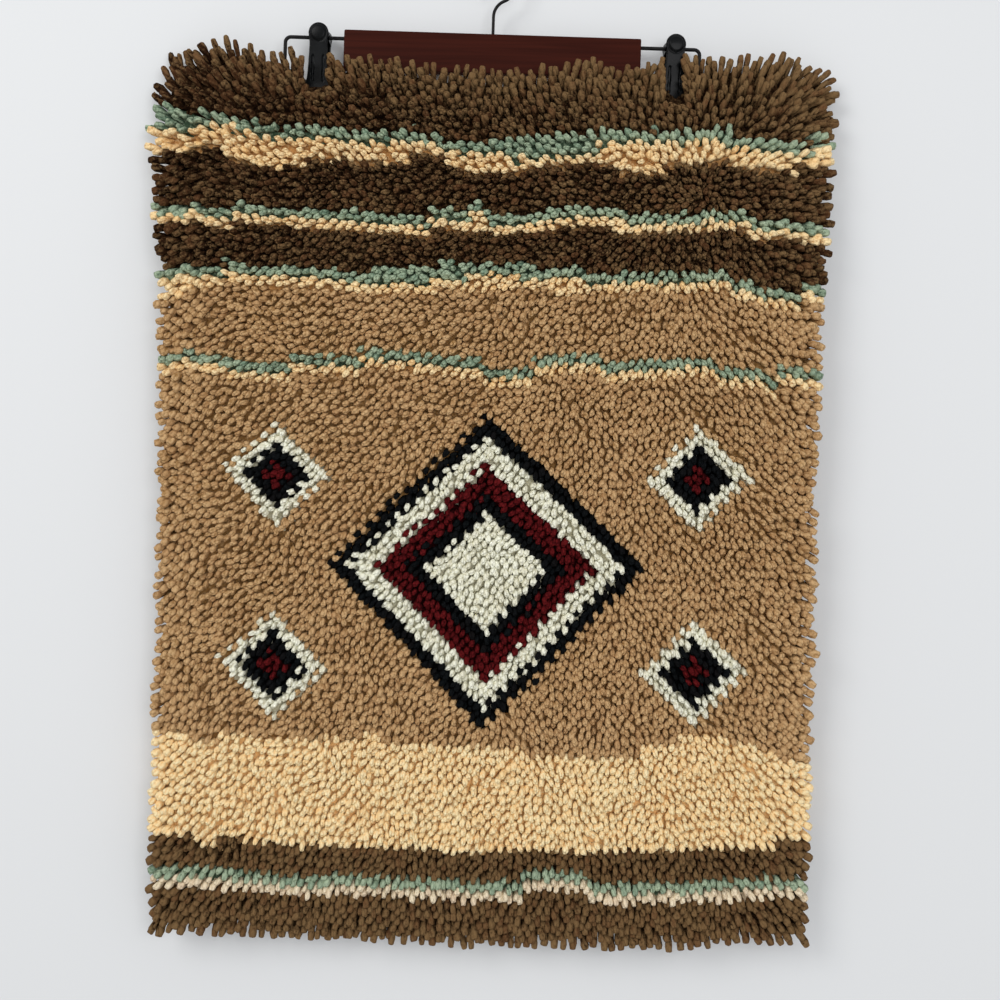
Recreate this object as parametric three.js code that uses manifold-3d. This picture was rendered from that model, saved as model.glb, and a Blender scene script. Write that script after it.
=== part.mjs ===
// A latch hook wall hanging, clipped to a skirt hanger.
//
// Units are millimetres, +Z is up and the pile faces -Y. The origin is the inner top of the
// hanger's hook, where a nail or peg carries the whole piece.

import * as THREE from "three";
import { mergeVertices } from "three/addons/utils/BufferGeometryUtils.js";
import Module from "manifold-3d";

const wasm = await Module();
wasm.setup();

const degrees = THREE.MathUtils.degToRad;
const { lerp, clamp, smoothstep } = THREE.MathUtils;

// ---------------------------------------------------------------- driving dimensions

const FIT = 0.3; // gap between pieces that touch

// the rug canvas: 67 x 89 holes at 3.3 holes to the inch
const CANVAS_WIDE = 516;
const CANVAS_TALL = 686;
const CANVAS_THICK = 3; // of its doubled hem; the knots' backs fill the sheet out to it
const HEM_WIDE = 28;
const CANVAS_TOP = -100; // height of the top edge where the clips hold it
const CANVAS_BOTTOM = -788;
const TOP_SPREAD = { share: 0.018, reach: 120 }; // the top is a little wider, and for how far down
const CANVAS_MIDDLE = 1; // how far to the right of the hook it hangs
const LEAN_BACK = { from: 30, deep: 7 }; // its foot hangs nearer the wall
const RIPPLE = { deep: 2.6, long: 95, phase: 0.8, fade: 2.2 };
const CURL = { deep: 5, across: 170, fall: 0.8 }; // the bottom corners curl forward

// the pile: degrees that the yarn droops, and that its outer rows rise, fan out and fall, each
// easing off over a distance from the edge
const PILE_LENGTH = 25;
const PILE_INSET = 3; // first knots from the canvas's edge
const PILE_DROOP = 12;
const TOP_RISE = { turn: 60, reach: 45 };
const BOTTOM_FALL = { turn: 20, reach: 32 };
const CORNER_FAN = { turn: 14, across: 40, down: 50 };
const FAN_REACH = 32;
// how far the pile's surface rises and dips, and the lengths of its long crossing waves
const SWELL = { deep: 1.2, across: 47, down: 61, leanAcross: 120, leanDown: 83 };
const EDGE_FAN = [
  { fall: 0, left: 44, right: 50 },
  { fall: 0.1, left: 31, right: 46 },
  { fall: 0.2, left: 24, right: 40 },
  { fall: 0.3, left: 21, right: 26 },
  { fall: 0.5, left: 20, right: 22 },
  { fall: 0.85, left: 22, right: 22 },
  { fall: 1, left: 26, right: 26 },
];

// the hanger
const HANGER_TILT = 0.75; // degrees, its right end hangs lower
const BOARD = { wide: 243, tall: 32, thick: 9, corner: 1.2, top: -64, edge: 0.8 };
const WIRE = 3; // diameter of the arms
const ARM = { below: 6.2, reach: 170, bend: 4.5, leg: 20, inBoard: 60 };
const HOOK = { wire: 2.6, inside: 18, stemBend: 14.1, start: -65, end: 200, inBoard: 22 };

// the clips, measured from the arm that they hang on
const CLIP_PLACES = { left: -141.4, right: 149 };
const CLIP_MIDDLE = (CLIP_PLACES.left + CLIP_PLACES.right) / 2;
const CLIP_HALF_SPAN = (CLIP_PLACES.right - CLIP_PLACES.left) / 2;
const TOP_BOW = { deep: 5, reach: 140 }; // the canvas bows forward between them
const LEVER_EASE = 0.8; // of a lever's long edges
const DOME = { top: 9.7, thinning: 0.25, forward: 0.6 };
const BUTTON = { round: 6.6, proud: 0.9, slope: 1.6 };
const SUNK = 0.5; // how deep the button is let into the lever
const SPRING = { inner: 2.1, outer: 3.6, long: 7.8 };
const EAR = { bore: 2.45, round: 4.1, thick: 1.6, front: 5, back: 7, from: -70, to: 110 };
const EAR_ROOT = { inside: -7.2, top: 3.4, bottomInside: -6.6, bottom: -5 }; // where it joins the lever
const SLOT = { wide: 2.4, deep: 1.2, across: 4.3, top: -16, bottom: -37.4 };
const NOTCH = { room: 1.6, top: 60, ahead: 60, behind: 20 }; // what a clip presses out of the pile

// The hanging's top and bottom edges sag between and beyond the clips. Each row says how far
// across the canvas it is, and how far the edge stands above its nominal height there.
const TOP_EDGE = [
  { across: -258, rise: -7 },
  { across: -225, rise: 7 },
  { across: -180, rise: -2 },
  { across: -146, rise: -2 },
  { across: -75, rise: -6 },
  { across: 0, rise: -13 },
  { across: 75, rise: -4 },
  { across: 143, rise: 0.5 },
  { across: 190, rise: 3 },
  { across: 230, rise: 4 },
  { across: 258, rise: 1 },
];
const BOTTOM_EDGE = [
  { across: -258, rise: 2 },
  { across: -120, rise: -3 },
  { across: 0, rise: -6 },
  { across: 120, rise: -5 },
  { across: 258, rise: 1 },
];

// A lever's side profile and width, from its dome down to its jaw.
const LEVER = [
  { height: 1.4, wide: 16.6, middle: -7.6, thick: 2.6 },
  { height: -6.3, wide: 14.6, middle: -6.8, thick: 2.8 },
  { height: -14, wide: 15.4, middle: -5.9, thick: 2.8 },
  { height: -26, wide: 17, middle: -4.9, thick: 2.8 },
  { height: -33, wide: 18.4, middle: -4.1, thick: 2.9 },
  { height: -39, wide: 20.6, middle: -3.4, thick: 3 },
  { height: -45.5, wide: 22.6, middle: -3.4, thick: 3 },
  { height: -48.5, wide: 22.9, middle: -3.15, thick: 2.5 },
];

// ---------------------------------------------------------------- materials

const yarn = new THREE.MeshStandardMaterial({ color: 0x8a6a48, roughness: 0.95, metalness: 0 });
const cotton = new THREE.MeshStandardMaterial({ color: 0xd8ccb0, roughness: 0.9, metalness: 0 });
const paintedWood = new THREE.MeshStandardMaterial({ color: 0x3a1612, roughness: 0.45, metalness: 0 });
const blackWire = new THREE.MeshStandardMaterial({ color: 0x141414, roughness: 0.4, metalness: 0.6 });
const blackPlastic = new THREE.MeshStandardMaterial({ color: 0x0c0d0e, roughness: 0.22, metalness: 0 });
const springSteel = new THREE.MeshStandardMaterial({ color: 0xb0b0ac, roughness: 0.3, metalness: 1 });

// ---------------------------------------------------------------- solids

function toManifold(geometry) {
  const bare = geometry.clone();
  bare.deleteAttribute("normal");
  bare.deleteAttribute("uv");
  const merged = mergeVertices(bare, 1e-4);
  const vertProperties = new Float32Array(merged.attributes.position.array);
  const triVerts = new Uint32Array(merged.index.array);
  return new wasm.Manifold(new wasm.Mesh({ numProp: 3, vertProperties, triVerts }));
}

function toGeometry(manifold) {
  const mesh = manifold.getMesh();
  const geometry = new THREE.BufferGeometry();
  geometry.setAttribute("position", new THREE.BufferAttribute(mesh.vertProperties, 3));
  geometry.setIndex(new THREE.BufferAttribute(mesh.triVerts, 1));
  geometry.computeVertexNormals();
  return geometry;
}

function joined(geometry, ...others) {
  return toGeometry(others.reduce((whole, other) => whole.add(toManifold(other)), toManifold(geometry)));
}

function cut(geometry, ...cutters) {
  const whole = toManifold(geometry);
  return toGeometry(cutters.reduce((left, cutter) => left.subtract(toManifold(cutter)), whole));
}

function piece(name, geometry, material) {
  const mesh = new THREE.Mesh(geometry, material);
  mesh.name = name;
  return mesh;
}

// A closed solid between rings of equal length, each ring a list of points.
function lofted(rings) {
  const count = rings[0].length;
  const positions = rings.flat().flatMap((point) => [point.x, point.y, point.z]);
  const index = [];
  for (let ring = 0; ring + 1 < rings.length; ring += 1) {
    for (let k = 0; k < count; k += 1) {
      const next = (k + 1) % count;
      const here = ring * count;
      const above = here + count;
      index.push(here + k, here + next, above + next, here + k, above + next, above + k);
    }
  }
  const last = (rings.length - 1) * count;
  for (let k = 1; k + 1 < count; k += 1) {
    index.push(0, k + 1, k, last, last + k, last + k + 1);
  }
  const geometry = new THREE.BufferGeometry();
  geometry.setAttribute("position", new THREE.Float32BufferAttribute(positions, 3));
  geometry.setIndex(index);
  geometry.computeVertexNormals();
  return geometry;
}

// A round rod along X, for bores.
function rodAlongX(radius, length, sides = 12) {
  return new THREE.CylinderGeometry(radius, radius, length, sides).rotateZ(Math.PI / 2);
}

// ---------------------------------------------------------------- how the canvas hangs

// The rows of a table on either side of a place, and the share of the way between them.
function between(table, field, place) {
  const held = clamp(place, table[0][field], table.at(-1)[field]);
  const next = Math.max(table.findIndex((row) => row[field] >= held), 1);
  const [before, after] = [table[next - 1], table[next]];
  return { before, after, share: (held - before[field]) / (after[field] - before[field]) };
}

// How far an edge stands above its nominal height, from its table.
function edgeRise(table, across) {
  const { before, after, share } = between(table, "across", across);
  return lerp(before.rise, after.rise, smoothstep(share, 0, 1));
}

const near = (distance, reach) => Math.exp(-distance / reach);

// The canvas's middle, at a place across it (0 in the middle) and down it (0 at the top edge).
function hang(across, down) {
  const fall = down / CANVAS_TALL;
  const top = CANVAS_TOP + edgeRise(TOP_EDGE, across);
  const bottom = CANVAS_BOTTOM + edgeRise(BOTTOM_EDGE, across);
  const x = CANVAS_MIDDLE + across * (1 + TOP_SPREAD.share * near(down, TOP_SPREAD.reach));

  // It bows forward between the clips, and its corners fall back beyond them.
  const fromClips = (x - CLIP_MIDDLE) / CLIP_HALF_SPAN;
  const bow = TOP_BOW.deep * (fromClips ** 2 - 1) * near(down, TOP_BOW.reach);
  const leanBack = LEAN_BACK.deep * smoothstep(down, LEAN_BACK.from, CANVAS_TALL);
  const wave = Math.sin((across / RIPPLE.long + RIPPLE.phase) * Math.PI) * Math.cos(fall * RIPPLE.fade);
  const ripple = RIPPLE.deep * fall * wave;
  const cornerShare = smoothstep(Math.abs(across), CURL.across, CANVAS_WIDE / 2);
  const curl = -CURL.deep * cornerShare * smoothstep(fall, CURL.fall, 1);
  return new THREE.Vector3(x, bow + leanBack + ripple + curl, lerp(top, bottom, fall));
}

// The canvas's own directions at a place: across it, up it and out of its face.
function facing(across, down) {
  const step = 4;
  const right = hang(across + step, down).sub(hang(across - step, down)).normalize();
  const up = hang(across, Math.max(down - step, 0)).sub(hang(across, down + step)).normalize();
  const out = new THREE.Vector3().crossVectors(up, right).negate().normalize();
  return { right, up, out: out.y < 0 ? out : out.negate() };
}

// Where the pile's tips lie over a place on the canvas.
function pileTip(across, down) {
  const fromLeft = across + CANVAS_WIDE / 2;
  const fromRight = CANVAS_WIDE / 2 - across;
  const fromBottom = CANVAS_TALL - down;
  const topRise = TOP_RISE.turn * near(down, TOP_RISE.reach);
  const bottomFall = BOTTOM_FALL.turn * near(fromBottom, BOTTOM_FALL.reach);
  const rise = degrees(topRise - PILE_DROOP - bottomFall);
  const { before, after, share } = between(EDGE_FAN, "fall", down / CANVAS_TALL);
  const toLeft = lerp(before.left, after.left, share) * near(fromLeft, FAN_REACH);
  const toRight = lerp(before.right, after.right, share) * near(fromRight, FAN_REACH);
  const corner = near(fromRight, CORNER_FAN.across) - near(fromLeft, CORNER_FAN.across);
  const fan = degrees(toRight - toLeft + CORNER_FAN.turn * near(down, CORNER_FAN.down) * corner);
  const swellAcross = Math.sin(across / SWELL.across + down / SWELL.leanDown);
  const swellDown = Math.sin(down / SWELL.down - across / SWELL.leanAcross);
  const length = PILE_LENGTH + SWELL.deep * swellAcross * swellDown;
  const { right, up, out } = facing(across, down);
  return hang(across, down)
    .addScaledVector(right, length * Math.sin(fan) * Math.cos(rise))
    .addScaledVector(out, length * Math.cos(fan) * Math.cos(rise))
    .addScaledVector(up, length * Math.sin(rise));
}

// Places along one side of a sheet: a short list near each edge and even steps between.
function stations(edge, nearEdge, steps) {
  const inner = edge - nearEdge.at(-1);
  const even = Array.from({ length: steps - 1 }, (_, k) => lerp(-inner, inner, (k + 1) / steps));
  const out = nearEdge.map((inset) => edge - inset);
  return [...out.map((place) => -place), ...even, ...out.reverse()];
}

// A closed sheet over a grid of places, between a front and a back surface.
function sheetSolid(acrosses, downs, front, back) {
  const columns = acrosses.length;
  const rows = downs.length;
  const places = downs.flatMap((down) => acrosses.map((across) => [across, down]));
  const points = [front, back].flatMap((face) => places.map(([across, down]) => face(across, down)));
  const behind = columns * rows;
  const at = (column, row) => row * columns + column;
  const index = [];
  for (let row = 0; row + 1 < rows; row += 1) {
    for (let column = 0; column + 1 < columns; column += 1) {
      const [a, b] = [at(column, row), at(column + 1, row)];
      const [c, d] = [at(column + 1, row + 1), at(column, row + 1)];
      index.push(a, d, c, a, c, b);
      index.push(behind + a, behind + c, behind + d, behind + a, behind + b, behind + c);
    }
  }
  const rim = [];
  for (let column = 0; column < columns; column += 1) rim.push(at(column, 0));
  for (let row = 1; row < rows; row += 1) rim.push(at(columns - 1, row));
  for (let column = columns - 2; column >= 0; column -= 1) rim.push(at(column, rows - 1));
  for (let row = rows - 2; row > 0; row -= 1) rim.push(at(0, row));
  rim.forEach((here, k) => {
    const next = rim[(k + 1) % rim.length];
    index.push(here, next, behind + next, here, behind + next, behind + here);
  });
  const geometry = new THREE.BufferGeometry();
  const positions = points.flatMap((point) => [point.x, point.y, point.z]);
  geometry.setAttribute("position", new THREE.Float32BufferAttribute(positions, 3));
  geometry.setIndex(index);
  geometry.computeVertexNormals();
  return geometry;
}

const NEAR_EDGE = [PILE_INSET, HEM_WIDE / 2, HEM_WIDE]; // closer steps there
const PILE_ACROSS = stations(CANVAS_WIDE / 2, NEAR_EDGE, 18);
const PILE_DOWN = stations(CANVAS_TALL / 2, NEAR_EDGE, 24).map((place) => place + CANVAS_TALL / 2);

function canvasGeometry() {
  const acrosses = [-CANVAS_WIDE / 2, ...PILE_ACROSS, CANVAS_WIDE / 2];
  const downs = [0, ...PILE_DOWN, CANVAS_TALL];
  const face = (side) => (across, down) =>
    hang(across, down).addScaledVector(facing(across, down).out, (side * CANVAS_THICK) / 2);
  return sheetSolid(acrosses, downs, face(1), face(-1));
}

function pileGeometry(notches) {
  const back = (across, down) => {
    const { out } = facing(across, down);
    return hang(across, down).addScaledVector(out, CANVAS_THICK / 2 + FIT);
  };
  return cut(sheetSolid(PILE_ACROSS, PILE_DOWN, pileTip, back), ...notches);
}

// ---------------------------------------------------------------- the hanger's wires

// A wire's centre line through stations of its own, so that bends get the steps and straights don't.
class WirePath extends THREE.Curve {
  constructor(points) {
    super();
    this.points = points;
  }

  getPoint(share, target = new THREE.Vector3()) {
    const place = share * (this.points.length - 1);
    const first = Math.min(Math.floor(place), this.points.length - 2);
    return target.lerpVectors(this.points[first], this.points[first + 1], place - first);
  }

  getPointAt(share, target) {
    return this.getPoint(share, target);
  }

  getTangentAt(share, target = new THREE.Vector3()) {
    const here = Math.round(share * (this.points.length - 1));
    const before = this.points[Math.max(here - 1, 0)];
    const after = this.points[Math.min(here + 1, this.points.length - 1)];
    return target.subVectors(after, before).normalize();
  }
}

function wireGeometry(points, diameter, sides = 10) {
  const section = new THREE.Shape(
    Array.from({ length: sides }, (_, k) => {
      const turn = (k / sides) * 2 * Math.PI;
      return new THREE.Vector2(Math.cos(turn), Math.sin(turn)).multiplyScalar(diameter / 2);
    }),
  );
  return new THREE.ExtrudeGeometry(section, {
    steps: points.length - 1,
    bevelEnabled: false,
    extrudePath: new WirePath(points),
  });
}

// Points round an arc in the XZ plane, angles in degrees from +X towards +Z.
function arc(centreX, centreZ, radius, from, to, steps) {
  return Array.from({ length: steps + 1 }, (_, k) => {
    const turn = degrees(lerp(from, to, k / steps));
    return new THREE.Vector3(centreX + radius * Math.cos(turn), 0, centreZ + radius * Math.sin(turn));
  });
}

// One arm: straight out of the board, then bent down at its end. side is -1 for the left arm.
function armGeometry(side) {
  const inner = BOARD.wide / 2 - ARM.inBoard;
  const points = [
    new THREE.Vector3(inner, 0, 0),
    new THREE.Vector3(BOARD.wide / 2, 0, 0),
    ...arc(ARM.reach - ARM.bend, -ARM.bend, ARM.bend, 90, 0, 5),
    new THREE.Vector3(ARM.reach, 0, -ARM.leg),
  ];
  return wireGeometry(points, WIRE).rotateZ(side < 0 ? Math.PI : 0);
}

// The hook: a stem that leaves the board, a bend to the right and a round crook over the origin.
function hookGeometry() {
  const radius = HOOK.inside + HOOK.wire / 2;
  const crook = arc(0, -HOOK.inside, radius, HOOK.start, HOOK.end, 20);
  const turn = 90 + HOOK.start; // where the stem's bend meets the crook
  const bendTop = crook[0].z;
  const bendFoot = bendTop - HOOK.stemBend * Math.cos(degrees(turn));
  const stem = arc(HOOK.stemBend, bendFoot, HOOK.stemBend, 180, 180 - (90 - turn), 5);
  const foot = new THREE.Vector3(0, 0, BOARD.top - HOOK.inBoard);
  return wireGeometry([foot, ...stem.slice(0, -1), ...crook], HOOK.wire);
}

function boardGeometry() {
  const { wide, tall, thick, corner, top, edge } = BOARD;
  const [w, h] = [wide / 2 - edge, tall / 2 - edge];
  const outline = new THREE.Shape();
  outline.moveTo(-w + corner, -h);
  outline.lineTo(w - corner, -h);
  outline.absarc(w - corner, -h + corner, corner, -Math.PI / 2, 0, false);
  outline.lineTo(w, h - corner);
  outline.absarc(w - corner, h - corner, corner, 0, Math.PI / 2, false);
  outline.lineTo(-w + corner, h);
  outline.absarc(-w + corner, h - corner, corner, Math.PI / 2, Math.PI, false);
  outline.lineTo(-w, -h + corner);
  outline.absarc(-w + corner, -h + corner, corner, Math.PI, 1.5 * Math.PI, false);
  const blank = new THREE.ExtrudeGeometry(outline, {
    depth: thick - 2 * edge,
    bevelSize: edge,
    bevelThickness: edge,
    bevelSegments: 1,
    curveSegments: 3,
  });
  blank.translate(0, 0, -(thick - 2 * edge) / 2);
  blank.rotateX(Math.PI / 2);
  blank.translate(0, 0, top - tall / 2);

  const past = 5; // how far each drill starts outside the wood
  const room = 0.4; // between a wire and its bore
  const armBore = (side) =>
    rodAlongX(WIRE / 2 + room, ARM.inBoard + past + FIT).translate(
      side * (wide / 2 - (ARM.inBoard + FIT - past) / 2),
      0,
      top - ARM.below,
    );
  const hookBore = rodAlongX(HOOK.wire / 2 + room, HOOK.inBoard + past + FIT)
    .rotateY(Math.PI / 2)
    .translate(0, 0, top - (HOOK.inBoard + FIT - past) / 2);
  return cut(blank, armBore(-1), armBore(1), hookBore);
}

// ---------------------------------------------------------------- the clips

// A section of a lever, square to its length, with eased corners.
function leverSection({ height, wide, middle, thick }) {
  const [w, t] = [wide / 2, thick / 2];
  const ease = Math.min(LEVER_EASE, w / 2, t / 2);
  const corners = [
    [-w, -t + ease],
    [-w + ease, -t],
    [w - ease, -t],
    [w, -t + ease],
    [w, t - ease],
    [w - ease, t],
    [-w + ease, t],
    [-w, t - ease],
  ];
  return corners.map(([x, y]) => new THREE.Vector3(x, middle + y, height));
}

// How far forward a lever's outer face lies at a height.
function leverFace(height) {
  const next = LEVER.findIndex((row) => row.height <= height);
  const [above, below] = [LEVER[next - 1], LEVER[next]];
  const share = (above.height - height) / (above.height - below.height);
  return lerp(above.middle - above.thick / 2, below.middle - below.thick / 2, share);
}

// The front lever, with its round thumb button, two long slots and the ears that ride on the arm.
function leverGeometry(earPlace) {
  const foot = LEVER[0];
  const dome = [25, 48, 66, 80].map((turn) => ({
    ...foot,
    height: foot.height + (DOME.top - foot.height) * Math.sin(degrees(turn)),
    wide: foot.wide * Math.cos(degrees(turn)),
    thick: foot.thick * (1 - DOME.thinning * Math.sin(degrees(turn))),
    middle: foot.middle - DOME.forward * Math.sin(degrees(turn)),
  }));
  const rows = [...dome.reverse(), ...LEVER].reverse();
  const body = lofted(rows.map(leverSection));

  const buttonDeep = BUTTON.proud + SUNK;
  const button = new THREE.CylinderGeometry(BUTTON.round - BUTTON.slope, BUTTON.round, buttonDeep, 20)
    .rotateX(Math.PI)
    .translate(0, foot.middle - foot.thick / 2 - (BUTTON.proud - SUNK) / 2, foot.height);

  const ears = [-1, 1].map((side) => {
    const outline = new THREE.Shape();
    outline.absarc(0, 0, EAR.round, degrees(EAR.from), degrees(EAR.to), false);
    outline.lineTo(EAR_ROOT.inside, EAR_ROOT.top);
    outline.lineTo(EAR_ROOT.bottomInside, EAR_ROOT.bottom);
    outline.holes.push(new THREE.Path().absarc(0, 0, EAR.bore, 0, 2 * Math.PI, true));
    return new THREE.ExtrudeGeometry(outline, { depth: EAR.thick, bevelEnabled: false, curveSegments: 8 })
      .rotateX(Math.PI / 2)
      .rotateZ(Math.PI / 2)
      .translate(side * earPlace - EAR.thick / 2, 0, 0);
  });

  const slotLong = SLOT.top - SLOT.bottom;
  const cutterDeep = 4 * SLOT.deep;
  const footFace = leverFace(SLOT.bottom);
  const slope = Math.atan((footFace - leverFace(SLOT.top)) / slotLong);
  const slots = [-1, 1].map((side) => {
    const outline = new THREE.Shape();
    outline.absarc(0, slotLong - SLOT.wide / 2, SLOT.wide / 2, 0, Math.PI, false);
    outline.absarc(0, SLOT.wide / 2, SLOT.wide / 2, Math.PI, 2 * Math.PI, false);
    return new THREE.ExtrudeGeometry(outline, { depth: cutterDeep, bevelEnabled: false, curveSegments: 5 })
      .rotateX(Math.PI / 2 + slope)
      .translate(side * SLOT.across, footFace + SLOT.deep, SLOT.bottom);
  });
  return cut(joined(body, button, ...ears), ...slots);
}

function springGeometry() {
  const { inner, outer, long } = SPRING;
  const profile = [
    new THREE.Vector2(inner, -long / 2),
    new THREE.Vector2(outer, -long / 2),
    new THREE.Vector2(outer, long / 2),
    new THREE.Vector2(inner, long / 2),
    new THREE.Vector2(inner, -long / 2),
  ];
  return new THREE.LatheGeometry(profile, 16).rotateZ(Math.PI / 2);
}

// The notch that a clip presses into the pile, a little wider than its lever and open above.
function notchGeometry() {
  const sides = LEVER.slice(1).map(({ wide, height }) => [wide / 2 + NOTCH.room, height]);
  const [footHalf, foot] = sides.at(-1);
  const outline = new THREE.Shape();
  outline.moveTo(sides[0][0], NOTCH.top);
  outline.lineTo(-sides[0][0], NOTCH.top);
  sides.forEach(([half, height]) => outline.lineTo(-half, height));
  outline.lineTo(-footHalf + NOTCH.room, foot - NOTCH.room);
  outline.lineTo(footHalf - NOTCH.room, foot - NOTCH.room);
  sides.reverse().forEach(([half, height]) => outline.lineTo(half, height));
  return new THREE.ExtrudeGeometry(outline, { depth: NOTCH.ahead + NOTCH.behind, bevelEnabled: false })
    .translate(0, 0, -NOTCH.behind)
    .rotateX(Math.PI / 2);
}

// ---------------------------------------------------------------- the whole

const hangingPiece = new THREE.Group();

const hanger = new THREE.Group();
hanger.rotation.y = degrees(HANGER_TILT);
hangingPiece.add(hanger);
hanger.add(piece("board", boardGeometry(), paintedWood));
hanger.add(piece("hook", hookGeometry(), blackWire));

const arms = new THREE.Group();
arms.position.z = BOARD.top - ARM.below;
hanger.add(arms);
arms.add(piece("arm_left", armGeometry(-1), blackWire));
arms.add(piece("arm_right", armGeometry(1), blackWire));

const clips = [];
for (const [side, place] of Object.entries(CLIP_PLACES)) {
  const clip = new THREE.Group();
  clip.position.x = place;
  clip.rotation.z = Math.atan((Math.sign(place) * 2 * TOP_BOW.deep) / CLIP_HALF_SPAN);
  arms.add(clip);
  clip.add(piece(`clip_${side}_front`, leverGeometry(EAR.front), blackPlastic));
  const back = piece(`clip_${side}_back`, leverGeometry(EAR.back), blackPlastic);
  back.rotation.z = Math.PI;
  clip.add(back);
  clip.add(piece(`clip_${side}_spring`, springGeometry(), springSteel));
  clips.push(clip);
}

hangingPiece.updateMatrixWorld(true);
const notches = clips.map((clip) => notchGeometry().applyMatrix4(clip.matrixWorld));

hangingPiece.add(piece("canvas", canvasGeometry(), cotton));
hangingPiece.add(piece("pile", pileGeometry(notches), yarn));

export default hangingPiece;
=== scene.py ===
from functools import partial
import math

import bpy
import numpy as np
from mathutils import Matrix, Vector


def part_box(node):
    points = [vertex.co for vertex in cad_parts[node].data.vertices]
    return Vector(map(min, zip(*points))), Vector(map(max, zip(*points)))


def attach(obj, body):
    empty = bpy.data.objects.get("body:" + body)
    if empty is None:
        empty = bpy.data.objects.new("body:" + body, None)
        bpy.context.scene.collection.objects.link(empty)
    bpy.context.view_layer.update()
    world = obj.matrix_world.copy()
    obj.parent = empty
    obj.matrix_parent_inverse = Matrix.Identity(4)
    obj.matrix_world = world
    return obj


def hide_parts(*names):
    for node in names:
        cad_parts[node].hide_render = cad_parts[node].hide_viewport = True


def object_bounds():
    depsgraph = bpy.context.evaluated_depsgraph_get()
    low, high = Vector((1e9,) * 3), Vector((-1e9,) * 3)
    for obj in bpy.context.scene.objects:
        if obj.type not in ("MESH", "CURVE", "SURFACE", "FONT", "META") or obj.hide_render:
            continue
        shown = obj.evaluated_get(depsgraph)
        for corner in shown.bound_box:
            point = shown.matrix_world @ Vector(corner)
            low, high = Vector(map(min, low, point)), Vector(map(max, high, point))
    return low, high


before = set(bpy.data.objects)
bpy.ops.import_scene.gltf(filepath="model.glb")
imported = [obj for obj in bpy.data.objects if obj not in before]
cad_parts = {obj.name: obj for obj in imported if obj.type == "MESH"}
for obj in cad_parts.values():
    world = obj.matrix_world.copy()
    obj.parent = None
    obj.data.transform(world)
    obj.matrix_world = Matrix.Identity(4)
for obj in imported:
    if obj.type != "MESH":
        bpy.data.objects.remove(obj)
cad_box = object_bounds()

# --------------------------------------------------------------------------- the room
# The piece hangs close to a pale plastered wall, at eye level, with soft window light from
# the left. Wall and floor are only there to catch its shadow, so they show from in front.

EYE_AWAY = 1.025  # from the wall hook's plane
EYE_WIDE = 0.8207  # how much of that plane the view takes in
EYE_SIDE = 0.0123
EYE_HEIGHT = -0.4447  # from the hook
EYE_ROLL = math.radians(1.1)
SENSOR = 0.036

eye = bpy.data.objects.new("eye", bpy.data.cameras.new("eye"))
bpy.context.scene.collection.objects.link(eye)
eye.data.sensor_width = SENSOR * 1000
eye.data.lens = SENSOR * 1000 * EYE_AWAY / EYE_WIDE
eye.data.clip_start = 0.05
eye.matrix_world = Matrix.Translation((EYE_SIDE, -EYE_AWAY, EYE_HEIGHT)) @ (
    Matrix.Rotation(-EYE_ROLL, 4, "Y") @ Matrix.Rotation(math.pi / 2, 4, "X")
)
bpy.context.scene.camera = eye
bpy.context.scene.view_settings.view_transform = "Standard"


def lamp(name, size, power, place, aim, colour=(1, 1, 1)):
    """A square soft box of that size, pointing at aim."""
    light = bpy.data.lights.new(name, "AREA")
    light.size = size
    light.energy = power
    light.color = colour
    holder = bpy.data.objects.new(name, light)
    bpy.context.scene.collection.objects.link(holder)
    holder.location = place
    holder.rotation_euler = (Vector(aim) - Vector(place)).to_track_quat("-Z", "Y").to_euler()


hanging_middle = (cad_box[0] + cad_box[1]) / 2
lamp("window", 1.2, 26, (-1.5, -2.0, 0.75), hanging_middle, (1.0, 0.99, 0.97))
lamp("room", 1.2, 19.5, (0.7, -2.4, -0.15), hanging_middle, (0.99, 0.99, 1.0))

world = bpy.data.worlds.new("daylight")
bpy.context.scene.world = world
world.use_nodes = True
world.node_tree.nodes["Background"].inputs["Color"].default_value = (0.9, 0.9, 0.9, 1)
world.node_tree.nodes["Background"].inputs["Strength"].default_value = 0.71


def linear(red, green, blue):
    """A colour mixed on a screen, 0 to 255, as Blender's linear values."""
    shares = [value / 255 for value in (red, green, blue)]
    curve = [s / 12.92 if s <= 0.04045 else ((s + 0.055) / 1.055) ** 2.4 for s in shares]
    return (*curve, 1.0)


def set_inputs(tree, node, inputs):
    """Gives a node's inputs, by name or place, their plain values or their links."""
    for label, value in inputs.items():
        if isinstance(value, bpy.types.NodeSocket):
            tree.links.new(value, node.inputs[label])
        else:
            node.inputs[label].default_value = value


def new_node(tree, kind, inputs=None):
    made = tree.nodes.new(kind)
    set_inputs(tree, made, inputs or {})
    return made


def math_node(tree, operation, *values):
    """The result of one sum on plain values or sockets."""
    made = new_node(tree, "ShaderNodeMath", dict(enumerate(values)))
    made.operation = operation
    return made.outputs[0]


def finish_material(name, looks):
    """A new material, with its tree and its shader, which has these plain values."""
    made = bpy.data.materials.new(name)
    made.use_nodes = True
    shader = made.node_tree.nodes["Principled BSDF"]
    set_inputs(made.node_tree, shader, looks)
    return made, made.node_tree, shader


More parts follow.
